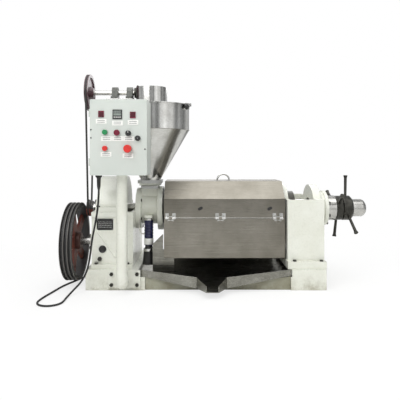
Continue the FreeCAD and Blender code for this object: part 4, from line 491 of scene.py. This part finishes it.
def soft_plate(build: bmesh.types.BMesh, centre: Point, size: Point, radius: float = 0.0,
               tilt: float = 0.0, steps: int = 4) -> None:
    """Add an upright plate that faces the front, its corners rounded.

    Args:
        build: Mesh that takes the plate.
        centre: Middle of the plate in millimetres.
        size: Width, thickness and height in millimetres.
        radius: Corner radius in millimetres.
        tilt: Turn about the plate's own normal, in degrees.
        steps: Faces round each corner.
    """
    wide, thick, high = (value / 2 for value in size)
    radius = min(radius, wide, high) if radius > 0 else 0.0
    corners = []
    for side_x, side_z, first in ((1, 1, 0), (-1, 1, 90), (-1, -1, 180), (1, -1, 270)):
        if radius == 0:
            corners.append((side_x * wide, side_z * high))
            continue
        for step in range(steps + 1):
            angle = math.radians(first + 90 * step / steps)
            corners.append((side_x * (wide - radius) + radius * math.cos(angle),
                            side_z * (high - radius) + radius * math.sin(angle)))
    turn = Matrix.Rotation(math.radians(tilt), 4, "Y")
    place = metres(*centre)
    rows = [[build.verts.new(place + turn @ metres(x, y, z)) for x, z in corners]
            for y in (-thick, thick)]
    build.faces.new(rows[0])
    build.faces.new(list(reversed(rows[1])))
    for index in range(len(corners)):
        after = (index + 1) % len(corners)
        build.faces.new((rows[0][index], rows[1][index], rows[1][after], rows[0][after]))


def lathe(build: bmesh.types.BMesh, outline: list[tuple[float, float]], start: Point,
          axis: Axis, sides: int = 32) -> None:
    """Add a turned form: the outline is (radius, distance along the axis) in millimetres.

    Args:
        build: Mesh that takes the form.
        outline: Points from one end of the axis to the other.
        start: Where the axis starts, in millimetres.
        axis: Which way it points.
        sides: Faces round it.
    """
    place = Matrix.Translation(metres(*start)) @ axis.turn()
    rings = []
    for radius, along in outline:
        rings.append([build.verts.new(place @ metres(
            radius * math.cos(math.tau * side / sides),
            radius * math.sin(math.tau * side / sides), along)) for side in range(sides)])
    for low, high in zip(rings, rings[1:]):
        for side in range(sides):
            after = (side + 1) % sides
            build.faces.new((low[side], low[after], high[after], high[side]))
    if outline[0][0] > 0.01:
        build.faces.new(list(reversed(rings[0])))
    if outline[-1][0] > 0.01:
        build.faces.new(rings[-1])


def rounded_tube(name: str, points: list[Point], radius: float, finish: Finish, body: str,
                 cyclic: bool = False) -> bpy.types.Object:
    """Make a thin bead or wire along points given in millimetres.

    Args:
        name: The piece's name.
        points: Control points of its line.
        radius: Its radius in millimetres.
        finish: What it is made of.
        body: The body that it rides on.
        cyclic: Whether the line closes.

    Returns:
        The piece as a mesh.
    """
    curve = bpy.data.curves.new(name, "CURVE")
    curve.dimensions = "3D"
    curve.bevel_depth = radius * MM
    curve.bevel_resolution = 3
    curve.use_fill_caps = True
    line = curve.splines.new("NURBS")
    line.points.add(len(points) - 1)
    for target, point in zip(line.points, points):
        target.co = (*metres(*point), 1.0)
    line.order_u = 3
    line.use_endpoint_u = not cyclic
    line.use_cyclic_u = cyclic
    line.resolution_u = 6
    holder = bpy.data.objects.new(name + "_line", curve)
    bpy.context.scene.collection.objects.link(holder)
    mesh = bpy.data.meshes.new_from_object(
        holder.evaluated_get(bpy.context.evaluated_depsgraph_get()))
    bpy.data.objects.remove(holder)
    mesh.materials.clear()
    build = bmesh.new()
    build.from_mesh(mesh)
    return as_piece(name, close(build, name), finish, body, True)


# --------------------------------------------------------------- geometry nodes
class Form(Enum):
    """Small forms that repeat."""

    PLATE = "plate"
    HEAD = "head"
    DOME = "dome"


@dataclass
class Repeat:
    """Geometry Nodes tree that sets one small form on many points.

    Attributes:
        name: Name of the tree and of the piece.
        form: Which form repeats.
        size: Its size in millimetres: width, thickness and height, or radius and height.
    """

    name: str
    form: Form
    size: Point

    def tree(self, finish: Finish, turn: Matrix) -> bpy.types.NodeTree:
        """Build the tree with named inputs for its sizes.

        Args:
            finish: What the forms are made of.
            turn: How each form is turned from +Z.

        Returns:
            The tree.
        """
        tree = bpy.data.node_groups.new(self.name, "GeometryNodeTree")
        tree.interface.new_socket("Points", in_out="INPUT", socket_type="NodeSocketGeometry")
        for label in ("Width", "Thickness", "Height"):
            tree.interface.new_socket(label, in_out="INPUT", socket_type="NodeSocketFloat")
        tree.interface.new_socket("Forms", in_out="OUTPUT", socket_type="NodeSocketGeometry")
        given = add(tree, "NodeGroupInput").outputs
        if self.form is Form.PLATE:
            size = add(tree, "ShaderNodeCombineXYZ", {0: given["Width"], 1: given["Thickness"],
                                                      2: given["Height"]})
            form = add(tree, "GeometryNodeMeshCube", {"Size": size.outputs[0]})
        elif self.form is Form.HEAD:
            form = add(tree, "GeometryNodeMeshCylinder", {"Radius": given["Width"],
                                                          "Depth": given["Height"]}, Vertices=6)
        else:
            form = add(tree, "GeometryNodeMeshUVSphere", {"Radius": given["Width"]}, Segments=20,
                       Rings=10)
        angles = turn.to_euler()
        spread = add(tree, "GeometryNodeInstanceOnPoints", {"Points": given["Points"],
                                                            "Instance": form.outputs[0]})
        spread.inputs["Rotation"].default_value = angles
        solid = add(tree, "GeometryNodeRealizeInstances", {0: spread.outputs[0]})
        dressed = add(tree, "GeometryNodeSetMaterial", {0: solid.outputs[0]})
        dressed.inputs["Material"].default_value = PALETTE.get(finish)
        add(tree, "NodeGroupOutput", {0: dressed.outputs[0]})
        return tree

    def bake(self, points: list[Point], finish: Finish, body: str,
             turn: Matrix | None = None) -> bpy.types.Object:
        """Set the form on points and bake the result into one plain piece.

        Args:
            points: Places in millimetres.
            finish: What the forms are made of.
            body: The body that they ride on.
            turn: How each form is turned from +Z.

        Returns:
            The baked piece.
        """
        mesh = bpy.data.meshes.new(self.name + "_points")
        mesh.from_pydata([metres(*point) for point in points], [], [])
        holder = bpy.data.objects.new(self.name + "_holder", mesh)
        bpy.context.scene.collection.objects.link(holder)
        nodes = holder.modifiers.new("repeat", "NODES")
        nodes.node_group = self.tree(finish, turn or Matrix.Identity(4))
        sizes = dict(zip(("Width", "Thickness", "Height"), self.size))
        for item in nodes.node_group.interface.items_tree:
            if item.item_type == "SOCKET" and item.in_out == "INPUT" and item.name in sizes:
                nodes[item.identifier] = sizes[item.name] * MM
        done = bpy.data.meshes.new_from_object(
            holder.evaluated_get(bpy.context.evaluated_depsgraph_get()))
        bpy.data.objects.remove(holder)
        return as_piece(self.name, done, finish, body, self.form is Form.DOME)


@dataclass
class BoltCircle:
    """Hexagon heads set evenly round a flange.

    Attributes:
        name: The piece's name.
        centre: Middle of the circle in millimetres.
        radius: Circle radius in millimetres.
        count: How many heads.
        first: Angle of the first, in degrees.
        head: Head radius and height in millimetres.
    """

    name: str
    centre: Point
    radius: float
    count: int
    first: float
    head: tuple[float, float] = (9.5, 7.0)

    def places(self) -> list[Point]:
        """Return the heads' places on a flange that faces along X."""
        x, y, z = self.centre
        return [(x, y + self.radius * math.cos(math.radians(self.first + 360 * row / self.count)),
                 z + self.radius * math.sin(math.radians(self.first + 360 * row / self.count)))
                for row in range(self.count)]

    def make(self, finish: Finish, body: str) -> bpy.types.Object:
        """Bake the heads into one piece."""
        forms = Repeat(self.name, Form.HEAD, (self.head[0], 1.0, self.head[1]))
        return forms.bake(self.places(), finish, body, Axis.RIGHT.turn())


# ----------------------------------------------------------------- sub-assemblies
@dataclass
class SupplyCord:
    """Rubber supply cord: out of the gland, over the floor and into its coil.

    Attributes:
        diameter: Outer diameter in millimetres.
        length: Real length in metres; not used.
        route: Control points from the gland to the coil, in millimetres.
        coil: Centre of the coil in millimetres.
        columns: Radii of the coil's outer and inner columns of turns.
        layers: Heights of its layers.
        turns: Turns in each column.
        turn_step: Angle between the coil's control points.
        lead_out: Points from the coil to the plug's neck.
    """

    diameter: float = 11.0
    length: float = 3.6
    route: tuple[Point, ...] = (
        (-589, -360, 579), (-590, -359, 530), (-597, -356, 462), (-611, -351, 385),
        (-630, -344, 300), (-641, -338, 215), (-653, -333, 150), (-672, -331, 98),
        (-699, -333, 56), (-729, -349, 26), (-746, -384, 8), (-748, -428, 6), (-746, -472, 6),
        (-749, -517, 6), (-778, -551, 6), (-822, -559, 6), (-861, -538, 6), (-879, -498, 6),
        (-876, -444, 6), (-864, -376, 6), (-849, -306, 6), (-836, -234, 6), (-815, -166, 6),
        (-788, -104, 6), (-764, -42, 6), (-744, 26, 6), (-730, 102, 6), (-722, 182, 6),
        (-704, 246, 6), (-676, 304, 6), (-640, 350, 6), (-623, 390, 6))
    coil: tuple[float, float] = (-552, 402)
    columns: tuple[float, float] = (67.5, 56.5)
    layers: tuple[float, float] = (6.2, 17.2)
    turns: tuple[float, ...] = (1.0, 1.0, 1.0, 1.25)
    turn_step: float = 30.0
    lead_out: tuple[Point, ...] = ((-545, 469.5, 19.5), (-527, 469.5, 22.0),
                                   (-510.8, 469.5, 22.3))

    def coil_points(self) -> list[Point]:
        """Return the control points of the wound part, clockwise from its left side."""
        outer, inner = self.columns
        low, high = self.layers
        rows = ((outer, low), (inner, low), (inner, high), (outer, high))
        points, angle = [], 180.0
        for (radius, height), turns in zip(rows, self.turns):
            for _ in range(round(turns * 360 / self.turn_step)):
                points.append((self.coil[0] + radius * math.cos(math.radians(angle)),
                               self.coil[1] + radius * math.sin(math.radians(angle)), height))
                angle -= self.turn_step
        return points

    def make(self) -> bpy.types.Object:
        points = [*self.route, *self.coil_points(), *self.lead_out]
        curve = bpy.data.curves.new("supply_lead", "CURVE")
        curve.dimensions = "3D"
        curve.bevel_depth = self.diameter / 2 * MM
        curve.bevel_resolution = 4
        curve.use_fill_caps = True
        line = curve.splines.new("NURBS")
        line.points.add(len(points) - 1)
        for target, point in zip(line.points, points):
            target.co = (*metres(*point), 1.0)
        line.order_u = 3
        line.use_endpoint_u = True
        line.resolution_u = 8
        curve.materials.append(PALETTE.get(CORD_RUBBER))
        lead = bpy.data.objects.new("supply_lead", curve)
        bpy.context.scene.collection.objects.link(lead)
        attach(lead, "root")
        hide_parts("supply_cord", "cord_coil")
        LOG.info("made the supply lead, %d control points", len(points))
        return lead


@dataclass
class ControlPanel:
    """Labels, displays and pointers on the control box's door.

    Attributes:
        front: Y of the door's face in millimetres.
        labels: Middle of each label: X and Z.
        label_size: Width and height of a label.
        round_marks: Raised dots at the door's hinge and latch edges.
        relief: How far display and meter glass stand before the door.
        display: Middle of the controller's window, X and Z, and its width and height.
        digits: First digit's X, step, middle height and number of digits.
        keys: First key's X, step and height.
        meters: Name and X of each panel meter.
        meter_glass: Height of its middle, width and height.
        selector: Middle of the selector, X and Z.
        lock: Middle of the door lock, X and Z.
    """

    front: float = -460.0
    labels: tuple[tuple[float, float], ...] = (
        (-555, 943), (-470, 934), (-388, 937), (-527, 852), (-469, 852), (-411, 852),
        (-529, 770), (-414, 762))
    label_size: tuple[float, float] = (56, 25)
    round_marks: tuple[tuple[float, float], ...] = ((-609, 899), (-609, 856), (-326, 797))
    relief: float = 4.4
    display: tuple[float, ...] = (-470, 985.5, 40, 25)
    digits: tuple[float, float, float, int] = (-484, 9.5, 989, 4)
    keys: tuple[float, float, float] = (-485, 10, 964.5)
    meters: tuple[tuple[str, float], ...] = (("left", -555), ("right", -389))
    meter_glass: tuple[float, float, float] = (978, 24, 26)
    selector: tuple[float, float] = (-412, 880)
    lock: tuple[float, float] = (-363, 854)

    def make(self) -> None:
        """Build everything on the door."""
        wide, high = self.label_size
        face = self.front - 0.5
        Repeat("door_labels", Form.PLATE, (wide, 1.0, high)).bake(
            [(x, face, z) for x, z in self.labels], LABEL_FILM, "door")
        Repeat("door_label_lines", Form.PLATE, (wide * 0.7, 0.6, 2.6)).bake(
            [(x, face - 0.5, z + shift) for x, z in self.labels for shift in (4.5, -4.5)],
            LABEL_INK, "door")
        Repeat("door_round_marks", Form.DOME, (4.0, 1.0, 1.0)).bake(
            [(x, self.front, z) for x, z in self.round_marks], BLACK_ABS, "door")
        self.make_controller()
        self.make_meters()
        self.make_pointers()

    def make_controller(self) -> None:
        """Display, digits and keys of the temperature controller."""
        face = self.front - self.relief
        x, z, wide, high = self.display
        build = bmesh.new()
        soft_plate(build, (x, face, z), (wide, 1.2, high), 2)
        as_piece("controller_window", close(build, "controller_window"), DISPLAY, "door")
        start, step, middle, count = self.digits
        ink = face - 0.7
        Repeat("controller_digit_bars", Form.PLATE, (5.2, 0.5, 1.3)).bake(
            [(start + step * row, ink, middle + shift)
             for row in range(count) for shift in (5, 0, -5)], DIGITS, "door")
        Repeat("controller_digit_posts", Form.PLATE, (1.3, 0.5, 4.4)).bake(
            [(start + step * row + side, ink, middle + shift)
             for row in range(count) for side in (-2.4, 2.4) for shift in (2.5, -2.5)],
            DIGITS, "door")
        start, step, level = self.keys
        Repeat("controller_keys", Form.PLATE, (7.0, 2.0, 4.5)).bake(
            [(start + step * row, face - 0.6, level) for row in range(count)], LABEL_FILM,
            "door")

    def make_meters(self) -> None:
        """Dark red glass of the two panel meters."""
        level, wide, high = self.meter_glass
        for side, x in self.meters:
            name = f"{side}_meter_window"
            build = bmesh.new()
            soft_plate(build, (x, self.front - self.relief, level), (wide, 1.2, high), 1.5)
            as_piece(name, close(build, name), METER_GLASS, "door")

    def make_pointers(self) -> None:
        """Grip and white mark of the selector, barrel and slot of the lock."""
        x, z = self.selector
        build = bmesh.new()
        soft_plate(build, (x, self.front - 19.5, z), (7, 5, 26), 2.5)
        as_piece("selector_grip", close(build, "selector_grip"), BLACK_ABS, "selector")
        build = bmesh.new()
        soft_plate(build, (x, self.front - 22.3, z + 7), (2.4, 0.8, 11), 1)
        as_piece("selector_mark", close(build, "selector_mark"), LABEL_FILM, "selector")
        x, z = self.lock
        build = bmesh.new()
        lathe(build, [(0.0, 0.0), (8.5, 0.0), (8.5, 1.6), (7.0, 2.6), (0.0, 2.6)],
              (x, self.front - 11.5, z), Axis.FRONT)
        as_piece("lock_barrel", close(build, "lock_barrel"), BLACK_ABS, "lock", True)
        build = bmesh.new()
        soft_plate(build, (x, self.front - 14.2, z), (2.2, 0.8, 9), 1)
        as_piece("lock_slot", close(build, "lock_slot"), ZINC, "lock")


@dataclass
class GearCaseTrim:
    """Nameplate, casting rib, window ring and flange bolts of the gear case.

    Attributes:
        face: Y of the case's front wall.
        plate: Middle of the bare nameplate, X and Z.
        plate_size: Its width and height.
        rule_rises: Heights of the plain rules on it, from its middle.
        rib: Ends of the slanted rib cast on the wall, X and Z.
        window: Middle of the oil window, X and Z.
        ring: Outline of the window's ring, as radius and distance from the wall.
    """

    face: float = -220.0
    plate: tuple[float, float] = (-583, 366)
    plate_size: tuple[float, float] = (96, 66)
    rule_rises: tuple[float, ...] = (14, 4, -6, -16)
    rib: tuple[tuple[float, float], ...] = ((-632, 335), (-560, 230), (-520, 172))
    window: tuple[float, float] = (-597, 223)
    ring: tuple[tuple[float, float], ...] = (
        (15.4, 0.0), (21.5, 0.0), (21.5, 5.0), (19.5, 7.0), (16.5, 7.0), (15.4, 5.5))

    def make(self) -> None:
        """Build the trim."""
        x, z = self.plate
        wide, high = self.plate_size
        build = bmesh.new()
        soft_plate(build, (x, self.face - 0.8, z), (wide, 1.6, high), 3)
        as_piece("case_nameplate", close(build, "case_nameplate"), BLACK_ABS, "root")
        Repeat("nameplate_rules", Form.PLATE, (wide - 16, 0.6, 1.2)).bake(
            [(x, self.face - 1.8, z + shift) for shift in self.rule_rises], ZINC, "root")
        Repeat("nameplate_rivets", Form.DOME, (2.6, 1.0, 1.0)).bake(
            [(x + side * (wide / 2 - 6), self.face - 1.2, z + level * (high / 2 - 6))
             for side in (-1, 1) for level in (-1, 1)], ZINC, "root")
        rounded_tube("case_cast_rib", [(px, self.face + 1.5, pz) for px, pz in self.rib], 6,
                     WHITE_ENAMEL, "root")
        build = bmesh.new()
        x, z = self.window
        lathe(build, list(self.ring), (x, self.face, z), Axis.FRONT, 40)
        as_piece("oil_window_ring", close(build, "oil_window_ring"), BLACK_ABS, "root", True)
        BoltCircle("throat_flange_bolts", (-388, 0, 437), 112, 6, 30).make(DARK_STEEL, "root")


@dataclass
class HopperTrim:
    """Seams, rim clamp and knob of the hopper.

    Attributes:
        x: Hopper axis.
        radius: Radius of its upright wall.
        seam: Height of the seam between cone and wall.
        weld: Points of the weld line up the cone, X from the axis, Y and Z.
        clamp_reach: How far right of the axis the rim clamp sits.
        clamp_level: Height of its knob.
        knob: Outline of the knob, as radius and distance along it.
    """

    x: float = -340.0
    radius: float = 240.0
    seam: float = 921.0
    weld: tuple[Point, ...] = ((58, -25, 616), (100, -38, 700), (160, -54, 812),
                               (232, -62, 920))
    clamp_reach: float = 226.0
    clamp_level: float = 1060.0
    knob: tuple[tuple[float, float], ...] = (
        (0.0, 0.0), (5.0, 0.0), (5.0, 6.0), (13.0, 9.0), (15.0, 14.0), (15.0, 20.0),
        (12.0, 25.0), (0.0, 26.5))

    def ring(self, radius: float, z: float, count: int = 24) -> list[Point]:
        """Return control points of a level ring."""
        grow = 1 / math.cos(math.pi / count)
        return [(self.x + radius * grow * math.cos(math.tau * row / count),
                 radius * grow * math.sin(math.tau * row / count), z) for row in range(count)]

    def make(self) -> None:
        """Build the trim."""
        rounded_tube("hopper_seam_bead", self.ring(self.radius + 0.3, self.seam), 1.6, TRAY_SHEET,
                     "root", True)
        rounded_tube("hopper_cone_weld", [(self.x + x, y, z) for x, y, z in self.weld], 1.4,
                     TRAY_SHEET, "root")
        self.clamp()

    def clamp(self) -> None:
        """Strap clamp with a black knob at the rim's right side."""
        x, z = self.x + self.clamp_reach, self.clamp_level
        build = bmesh.new()
        soft_plate(build, (x, -98, z), (34, 5, 40), 5)
        soft_plate(build, (x, -104, z + 18), (22, 14, 6), 2)
        as_piece("rim_clamp", close(build, "rim_clamp"), HOPPER_SHEET, "root")
        build = bmesh.new()
        lathe(build, list(self.knob), (x, -101, z), Axis.FRONT, 36)
        as_piece("rim_clamp_knob", close(build, "rim_clamp_knob"), BLACK_ABS, "root", True)


@dataclass
class HoodTrim:
    """Butterfly hinge leaves, hems and stamped marks on the hood.

    Attributes:
        front: Y of the hood's front panel.
        hinge: Height of the front hinges.
        hinges: X of each hinge.
        leaf_outline: Half a hinge, as X from its middle and distance from the pin.
        marks: X of the two oval plugs in the panel.
        ends: X of the hood's two ends.
    """

    front: float = -200.0
    hinge: float = 398.0
    hinges: tuple[float, ...] = (-205.2, 85.2, 418.7)
    leaf_outline: tuple[tuple[float, float], ...] = (
        (-10, 3), (10, 3), (20, 8), (21, 16), (12, 16), (0, 11), (-12, 16), (-21, 16),
        (-20, 8))
    marks: tuple[float, ...] = (-32.0, 372.0)
    ends: tuple[float, float] = (-244.0, 461.0)

    def leaf(self, build: bmesh.types.BMesh, x: float, upward: int) -> None:
        """Add one butterfly leaf.

        Args:
            build: Mesh that takes the leaf.
            x: Middle of the hinge.
            upward: 1 for the leaf above the pin, -1 for the one below.
        """
        shape = self.leaf_outline
        rows = [[build.verts.new(metres(x + px, self.front - depth, self.hinge + upward * pz))
                 for px, pz in shape] for depth in (2.0, 4.4)]
        build.faces.new(rows[0])
        build.faces.new(list(reversed(rows[1])))
        for index in range(len(shape)):
            after = (index + 1) % len(shape)
            build.faces.new((rows[0][index], rows[1][index], rows[1][after], rows[0][after]))

    def make(self) -> None:
        """Build the trim on the hood and on its flap."""
        for name, body, upward in (("hood", "hood", 1), ("flap", "hood_flap", -1)):
            build = bmesh.new()
            for x in self.hinges:
                self.leaf(build, x, upward)
            as_piece(f"{name}_hinge_leaves", close(build, f"{name}_hinge_leaves"), HOPPER_SHEET,
                     body)
            Repeat(f"{name}_hinge_rivets", Form.DOME, (2.0, 1.0, 1.0)).bake(
                [(x + side, self.front - 4.2, self.hinge + upward * 12)
                 for x in self.hinges for side in (-16, 16)], TRAY_SHEET, body)
        left, right = self.ends
        # the lower fold is a real seam bead of the hood sheet; its brighter hopper finish is a
        # painted highlight that makes it read as a light line
        for name, body, z, finish in (("hood_shoulder_fold", "hood", 510.6, HOOD_SHEET),
                                      ("hood_lower_fold_highlight", "hood", 400.5, HOPPER_SHEET),
                                      ("flap_hem", "hood_flap", 168, HOOD_SHEET)):
            rounded_tube(name, [(left + 2, self.front - 0.4, z), ((left + right) / 2,
                                self.front - 0.8, z), (right - 2, self.front - 0.4, z)], 1.8,
                         finish, body)
        self.oval_plugs()

    def oval_plugs(self) -> None:
        """Dark oval plugs in the front panel."""
        build = bmesh.new()
        for x in self.marks:
            soft_plate(build, (x, self.front - 1.0, 455), (30, 2, 17), 8.5, -28, 8)
        as_piece("hood_oval_plugs", close(build, "hood_oval_plugs"), BLACK_ABS, "hood")


@dataclass
class HeaterTrim:
    """Bare band, collar and leads of the heater terminal under the throat.

    Attributes:
        axis: X and Y of its axis.
        band: Outline of the bare label band, as radius and height over its foot.
        band_foot: Height of the band's foot.
        collar: Outline of the bright collar, in the same way.
        collar_foot: Height of the collar's foot.
        lead: Points of a lead from the axis, as X, Y and height.
        lead_pitch: Distance between the two leads.
    """

    axis: tuple[float, float] = (-340.0, -120.0)
    band: tuple[tuple[float, float], ...] = ((27.4, 0.0), (27.9, 0.4), (27.9, 35.6),
                                             (27.4, 36.0))
    band_foot: float = 234.0
    collar: tuple[tuple[float, float], ...] = (
        (24.2, 0.0), (31.0, 0.0), (32.0, 3.0), (32.0, 13.0), (30.0, 16.0), (24.2, 16.0))
    collar_foot: float = 193.0
    lead: tuple[Point, ...] = ((-26, -6, 300), (-44, -10, 292), (-58, -6, 330), (-60, 0, 372),
                               (-52, 14, 400))
    lead_pitch: float = 9.0

    def make(self) -> None:
        """Build the band, the collar and two leads."""
        x, y = self.axis
        for name, outline, foot, finish in (
                ("heater_band", self.band, self.band_foot, LABEL_FILM),
                ("heater_collar", self.collar, self.collar_foot, ZINC)):
            build = bmesh.new()
            lathe(build, list(outline), (x, y, foot), Axis.UP, 48)
            as_piece(name, close(build, name), finish, "root", True)
        for row in range(2):
            shift = row * self.lead_pitch
            points = [(x + along, y + across + shift, height) for along, across, height in
                      self.lead]
            points[0] = (*points[0][:2], points[0][2] - shift)
            rounded_tube(f"heater_lead_{row}", points, 2.2, LEAD_SHEATH, "root")


@dataclass
class BedPanels:
    """Sheet that closes the bed's front under the tray, and the low sheet behind the cage.

    Attributes:
        front: Y of the front sheet's two faces.
        outline: X and Z of its corners, kept under the tray's falling floor.
        rear: Y of the rear sheet's middle and its thickness.
        span: X of the rear sheet's two ends.
        rise: Z of its lower and upper edges.
    """

    front: tuple[float, float] = (-262.0, -257.0)
    outline: tuple[tuple[float, float], ...] = (
        (-345, 1), (480, 1), (480, 76), (122, 32), (-62, 32), (-345, 72))
    rear: tuple[float, float] = (188.4, 1.6)
    span: tuple[float, float] = (-236.0, 454.0)
    rise: tuple[float, float] = (97.0, 160.0)

    def make(self) -> None:
        """Build both sheets."""
        build = bmesh.new()
        rows = [[build.verts.new(metres(x, y, z)) for x, z in self.outline] for y in self.front]
        build.faces.new(rows[0])
        build.faces.new(list(reversed(rows[1])))
        for index in range(len(self.outline)):
            after = (index + 1) % len(self.outline)
            build.faces.new((rows[0][index], rows[1][index], rows[1][after], rows[0][after]))
        # the front sheet's darker grey enamel is partly oil and dust, partly painted shade from
        # the tray over it
        as_piece("bed_front_sheet", close(build, "bed_front_sheet"), OILED_SHADED_ENAMEL, "root")
        (left, right), (low, high), (middle, thick) = self.span, self.rise, self.rear
        build = bmesh.new()
        soft_plate(build, ((left + right) / 2, middle, (low + high) / 2),
                   (right - left, thick, high - low), 4)
        as_piece("rear_splash_sheet", close(build, "rear_splash_sheet"), TRAY_SHEET, "root")


class Dressing:
    """Finish of every solid that shows as it is."""

    def finishes(self) -> dict[str, Finish | PulleyFinish]:
        """Return each node's finish by name."""
        groups = (
            (WHITE_ENAMEL, "base_frame gearbox_lower gearbox_upper bearing_caps throat end_stand "
                           "end_cover control_post"),
            (BOX_COAT, "control_box box_door"),
            (HOOD_SHEET, "hood hood_door hood_rear_brackets"),
            (HOPPER_SHEET, "hopper gear_guard bearing_bridge feed_auger feed_gate"),
            (TRAY_SHEET, "oil_tray"),
            (SHAFT_STEEL, "worm_shaft input_shaft feeder_shaft guide_collar"),
            (GEAR_STEEL, "main_gear input_pinion press_worm cage_bars thrust_bearing"),
            (DARK_STEEL, "bevel_pinion bevel_gear cage_rings cake_ring adjusting_head lock_nut "
                         "fixing_bolts oil_drain_plug"),
            (CAST_GREY, "pillow_blocks"),
            (ZINC, "hood_front_hinges hood_handle control_bezels heater_cap"),
            (MAROON, "feeder_pulley"),
            (PulleyFinish(), "drive_pulley feeder_sheave"),
            (BELT_RUBBER, "feeder_belt"),
            (CORD_RUBBER, "supply_cord cord_coil"),
            (OIL_WINDOW, "oil_sight_glass"),
            (GREEN_ABS, "start_button"), (RED_ABS, "stop_button emergency_button"),
            (WINE_ABS, "run_button panel_meters"),
            # heater_skirt stands for a real plate behind the heater; its black plastic is painted
            # shade for the frame structure there in shadow
            (BLACK_ABS, "selector_knob door_lock temperature_controller heater_skirt cable_gland "
                        "cord_plug"),
            (NAVY_ABS, "heater_body"),
        )
        return {node: finish for finish, names in groups for node in names.split()}

    def make(self) -> None:
        """Give every node of the frame its material."""
        finishes = self.finishes()
        for name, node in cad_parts.items():
            material = PALETTE.get(finishes[name])
            node.data.materials.clear()
            node.data.materials.append(material)
        LOG.info("dressed %d solids", len(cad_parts))


@dataclass(frozen=True)
class Lamp:
    """One soft square lamp.

    Attributes:
        name: The lamp's name.
        place: Where it stands, in millimetres.
        size: Edge of its square face in metres.
        power: Its power in watts.
    """

    name: str
    place: Point
    size: float
    power: float

    def make(self, aim: Point) -> None:
        """Hang the lamp and turn it to a point given in millimetres."""
        data = bpy.data.lights.new(self.name, "AREA")
        data.energy = self.power
        data.size = self.size
        lamp = bpy.data.objects.new(self.name, data)
        lamp.location = metres(*self.place)
        way = metres(*aim) - lamp.location
        lamp.rotation_euler = way.to_track_quat("-Z", "Y").to_euler()
        bpy.context.scene.collection.objects.link(lamp)


@dataclass
class Studio:
    """Camera, lights, floor and world.

    Attributes:
        eye: Camera place in millimetres.
        lens: Focal length on a 36 mm sensor.
        shift: Picture shift across and up.
        middle: Point that the lamps look at, in millimetres.
        lamps: The soft lamps.
    """

    eye: Point = (-63.0, -2820.0, 761.0)
    lens: float = 40.5
    shift: tuple[float, float] = (0.0125, -0.11)
    middle: Point = (0.0, 0.0, 450.0)
    lamps: tuple[Lamp, ...] = (
        Lamp("key_lamp", (-1500, -2600, 2600), 2.4, 60.0),
        Lamp("fill_lamp", (2300, -2100, 1500), 2.6, 17.0),
        Lamp("top_lamp", (100, -300, 3000), 3.2, 62.0),
        Lamp("back_lamp", (400, 2400, 2400), 2.0, 34.0))

    def camera(self) -> None:
        """Set up the camera, level and square to the machine."""
        data = bpy.data.cameras.new("press_camera")
        data.lens = self.lens
        data.sensor_width = 36.0
        data.shift_x, data.shift_y = self.shift
        data.clip_end = 60.0
        camera = bpy.data.objects.new("press_camera", data)
        camera.location = metres(*self.eye)
        camera.rotation_euler = (math.radians(90), 0, 0)
        bpy.context.scene.collection.objects.link(camera)
        bpy.context.scene.camera = camera

    def world(self) -> None:
        """Plain light all round, white where camera and polished metal look at it."""
        world = bpy.data.worlds.new("studio_world")
        bpy.context.scene.world = world
        world.use_nodes = True
        tree = world.node_tree
        tree.nodes.clear()
        path = add(tree, "ShaderNodeLightPath")
        seen = add(tree, "ShaderNodeMath", {0: path.outputs["Is Camera Ray"],
                                            1: path.outputs["Is Transmission Ray"]},
                   operation="MAXIMUM")
        plain = add(tree, "ShaderNodeBackground", Color=linear("F2F4F6"), Strength=0.34)
        mirrored = add(tree, "ShaderNodeBackground", {"Color": self.streaks(tree)}, Strength=1.0)
        white = add(tree, "ShaderNodeBackground", Color=linear("FFFFFF"), Strength=1.0)
        shiny = add(tree, "ShaderNodeMixShader", {0: path.outputs["Is Glossy Ray"],
                                                  1: plain.outputs[0], 2: mirrored.outputs[0]})
        mixed = add(tree, "ShaderNodeMixShader", {0: seen.outputs[0], 1: shiny.outputs[0],
                                                  2: white.outputs[0]})
        add(tree, "ShaderNodeOutputWorld", {"Surface": mixed.outputs[0]})

    def streaks(self, tree: bpy.types.NodeTree) -> bpy.types.NodeSocket:
        """Return the room that polished sheet mirrors: soft upright bands of light and dark."""
        way = add(tree, "ShaderNodeTexCoord").outputs["Generated"]
        narrow = add(tree, "ShaderNodeMapping", {"Vector": way}, Scale=(3.2, 3.2, 0.5))
        room = add(tree, "ShaderNodeTexNoise", {"Vector": narrow.outputs[0]}, Scale=1.6,
                   Detail=3.0, Roughness=0.55)
        ramp = add(tree, "ShaderNodeValToRGB", {"Fac": room.outputs["Fac"]})
        ramp.color_ramp.elements[0].position = 0.36
        ramp.color_ramp.elements[0].color = linear("5A5C5E")
        ramp.color_ramp.elements[1].position = 0.62
        ramp.color_ramp.elements[1].color = linear("F4F5F6")
        return ramp.outputs["Color"]

    def floor(self) -> None:
        """Lay a broad pale floor."""
        build = bmesh.new()
        bmesh.ops.create_grid(build, x_segments=8, y_segments=8, size=9.0)
        mesh = bpy.data.meshes.new("studio_floor")
        build.to_mesh(mesh)
        build.free()
        mesh.transform(Matrix.Translation((0, 0, -0.0005)))
        mesh.materials.append(PALETTE.get(StageFinish()))
        ground = bpy.data.objects.new("studio_floor", mesh)
        bpy.context.scene.collection.objects.link(ground)

    def make(self) -> None:
        """Build the whole setting."""
        self.camera()
        self.world()
        self.floor()
        for lamp in self.lamps:
            lamp.make(self.middle)
        bpy.context.scene.view_settings.view_transform = "Standard"


def main() -> None:
    """Build the setting and every sub-assembly in order."""
    logging.basicConfig(level=logging.INFO, format="%(name)s %(message)s")
    Studio().make()
    SupplyCord().make()
    Dressing().make()
    for assembly in (ControlPanel(), GearCaseTrim(), HopperTrim(), HoodTrim(),
                     HeaterTrim(), BedPanels()):
        assembly.make()
        LOG.info("finished %s", type(assembly).__name__)


if __name__ == "__main__":
    main()
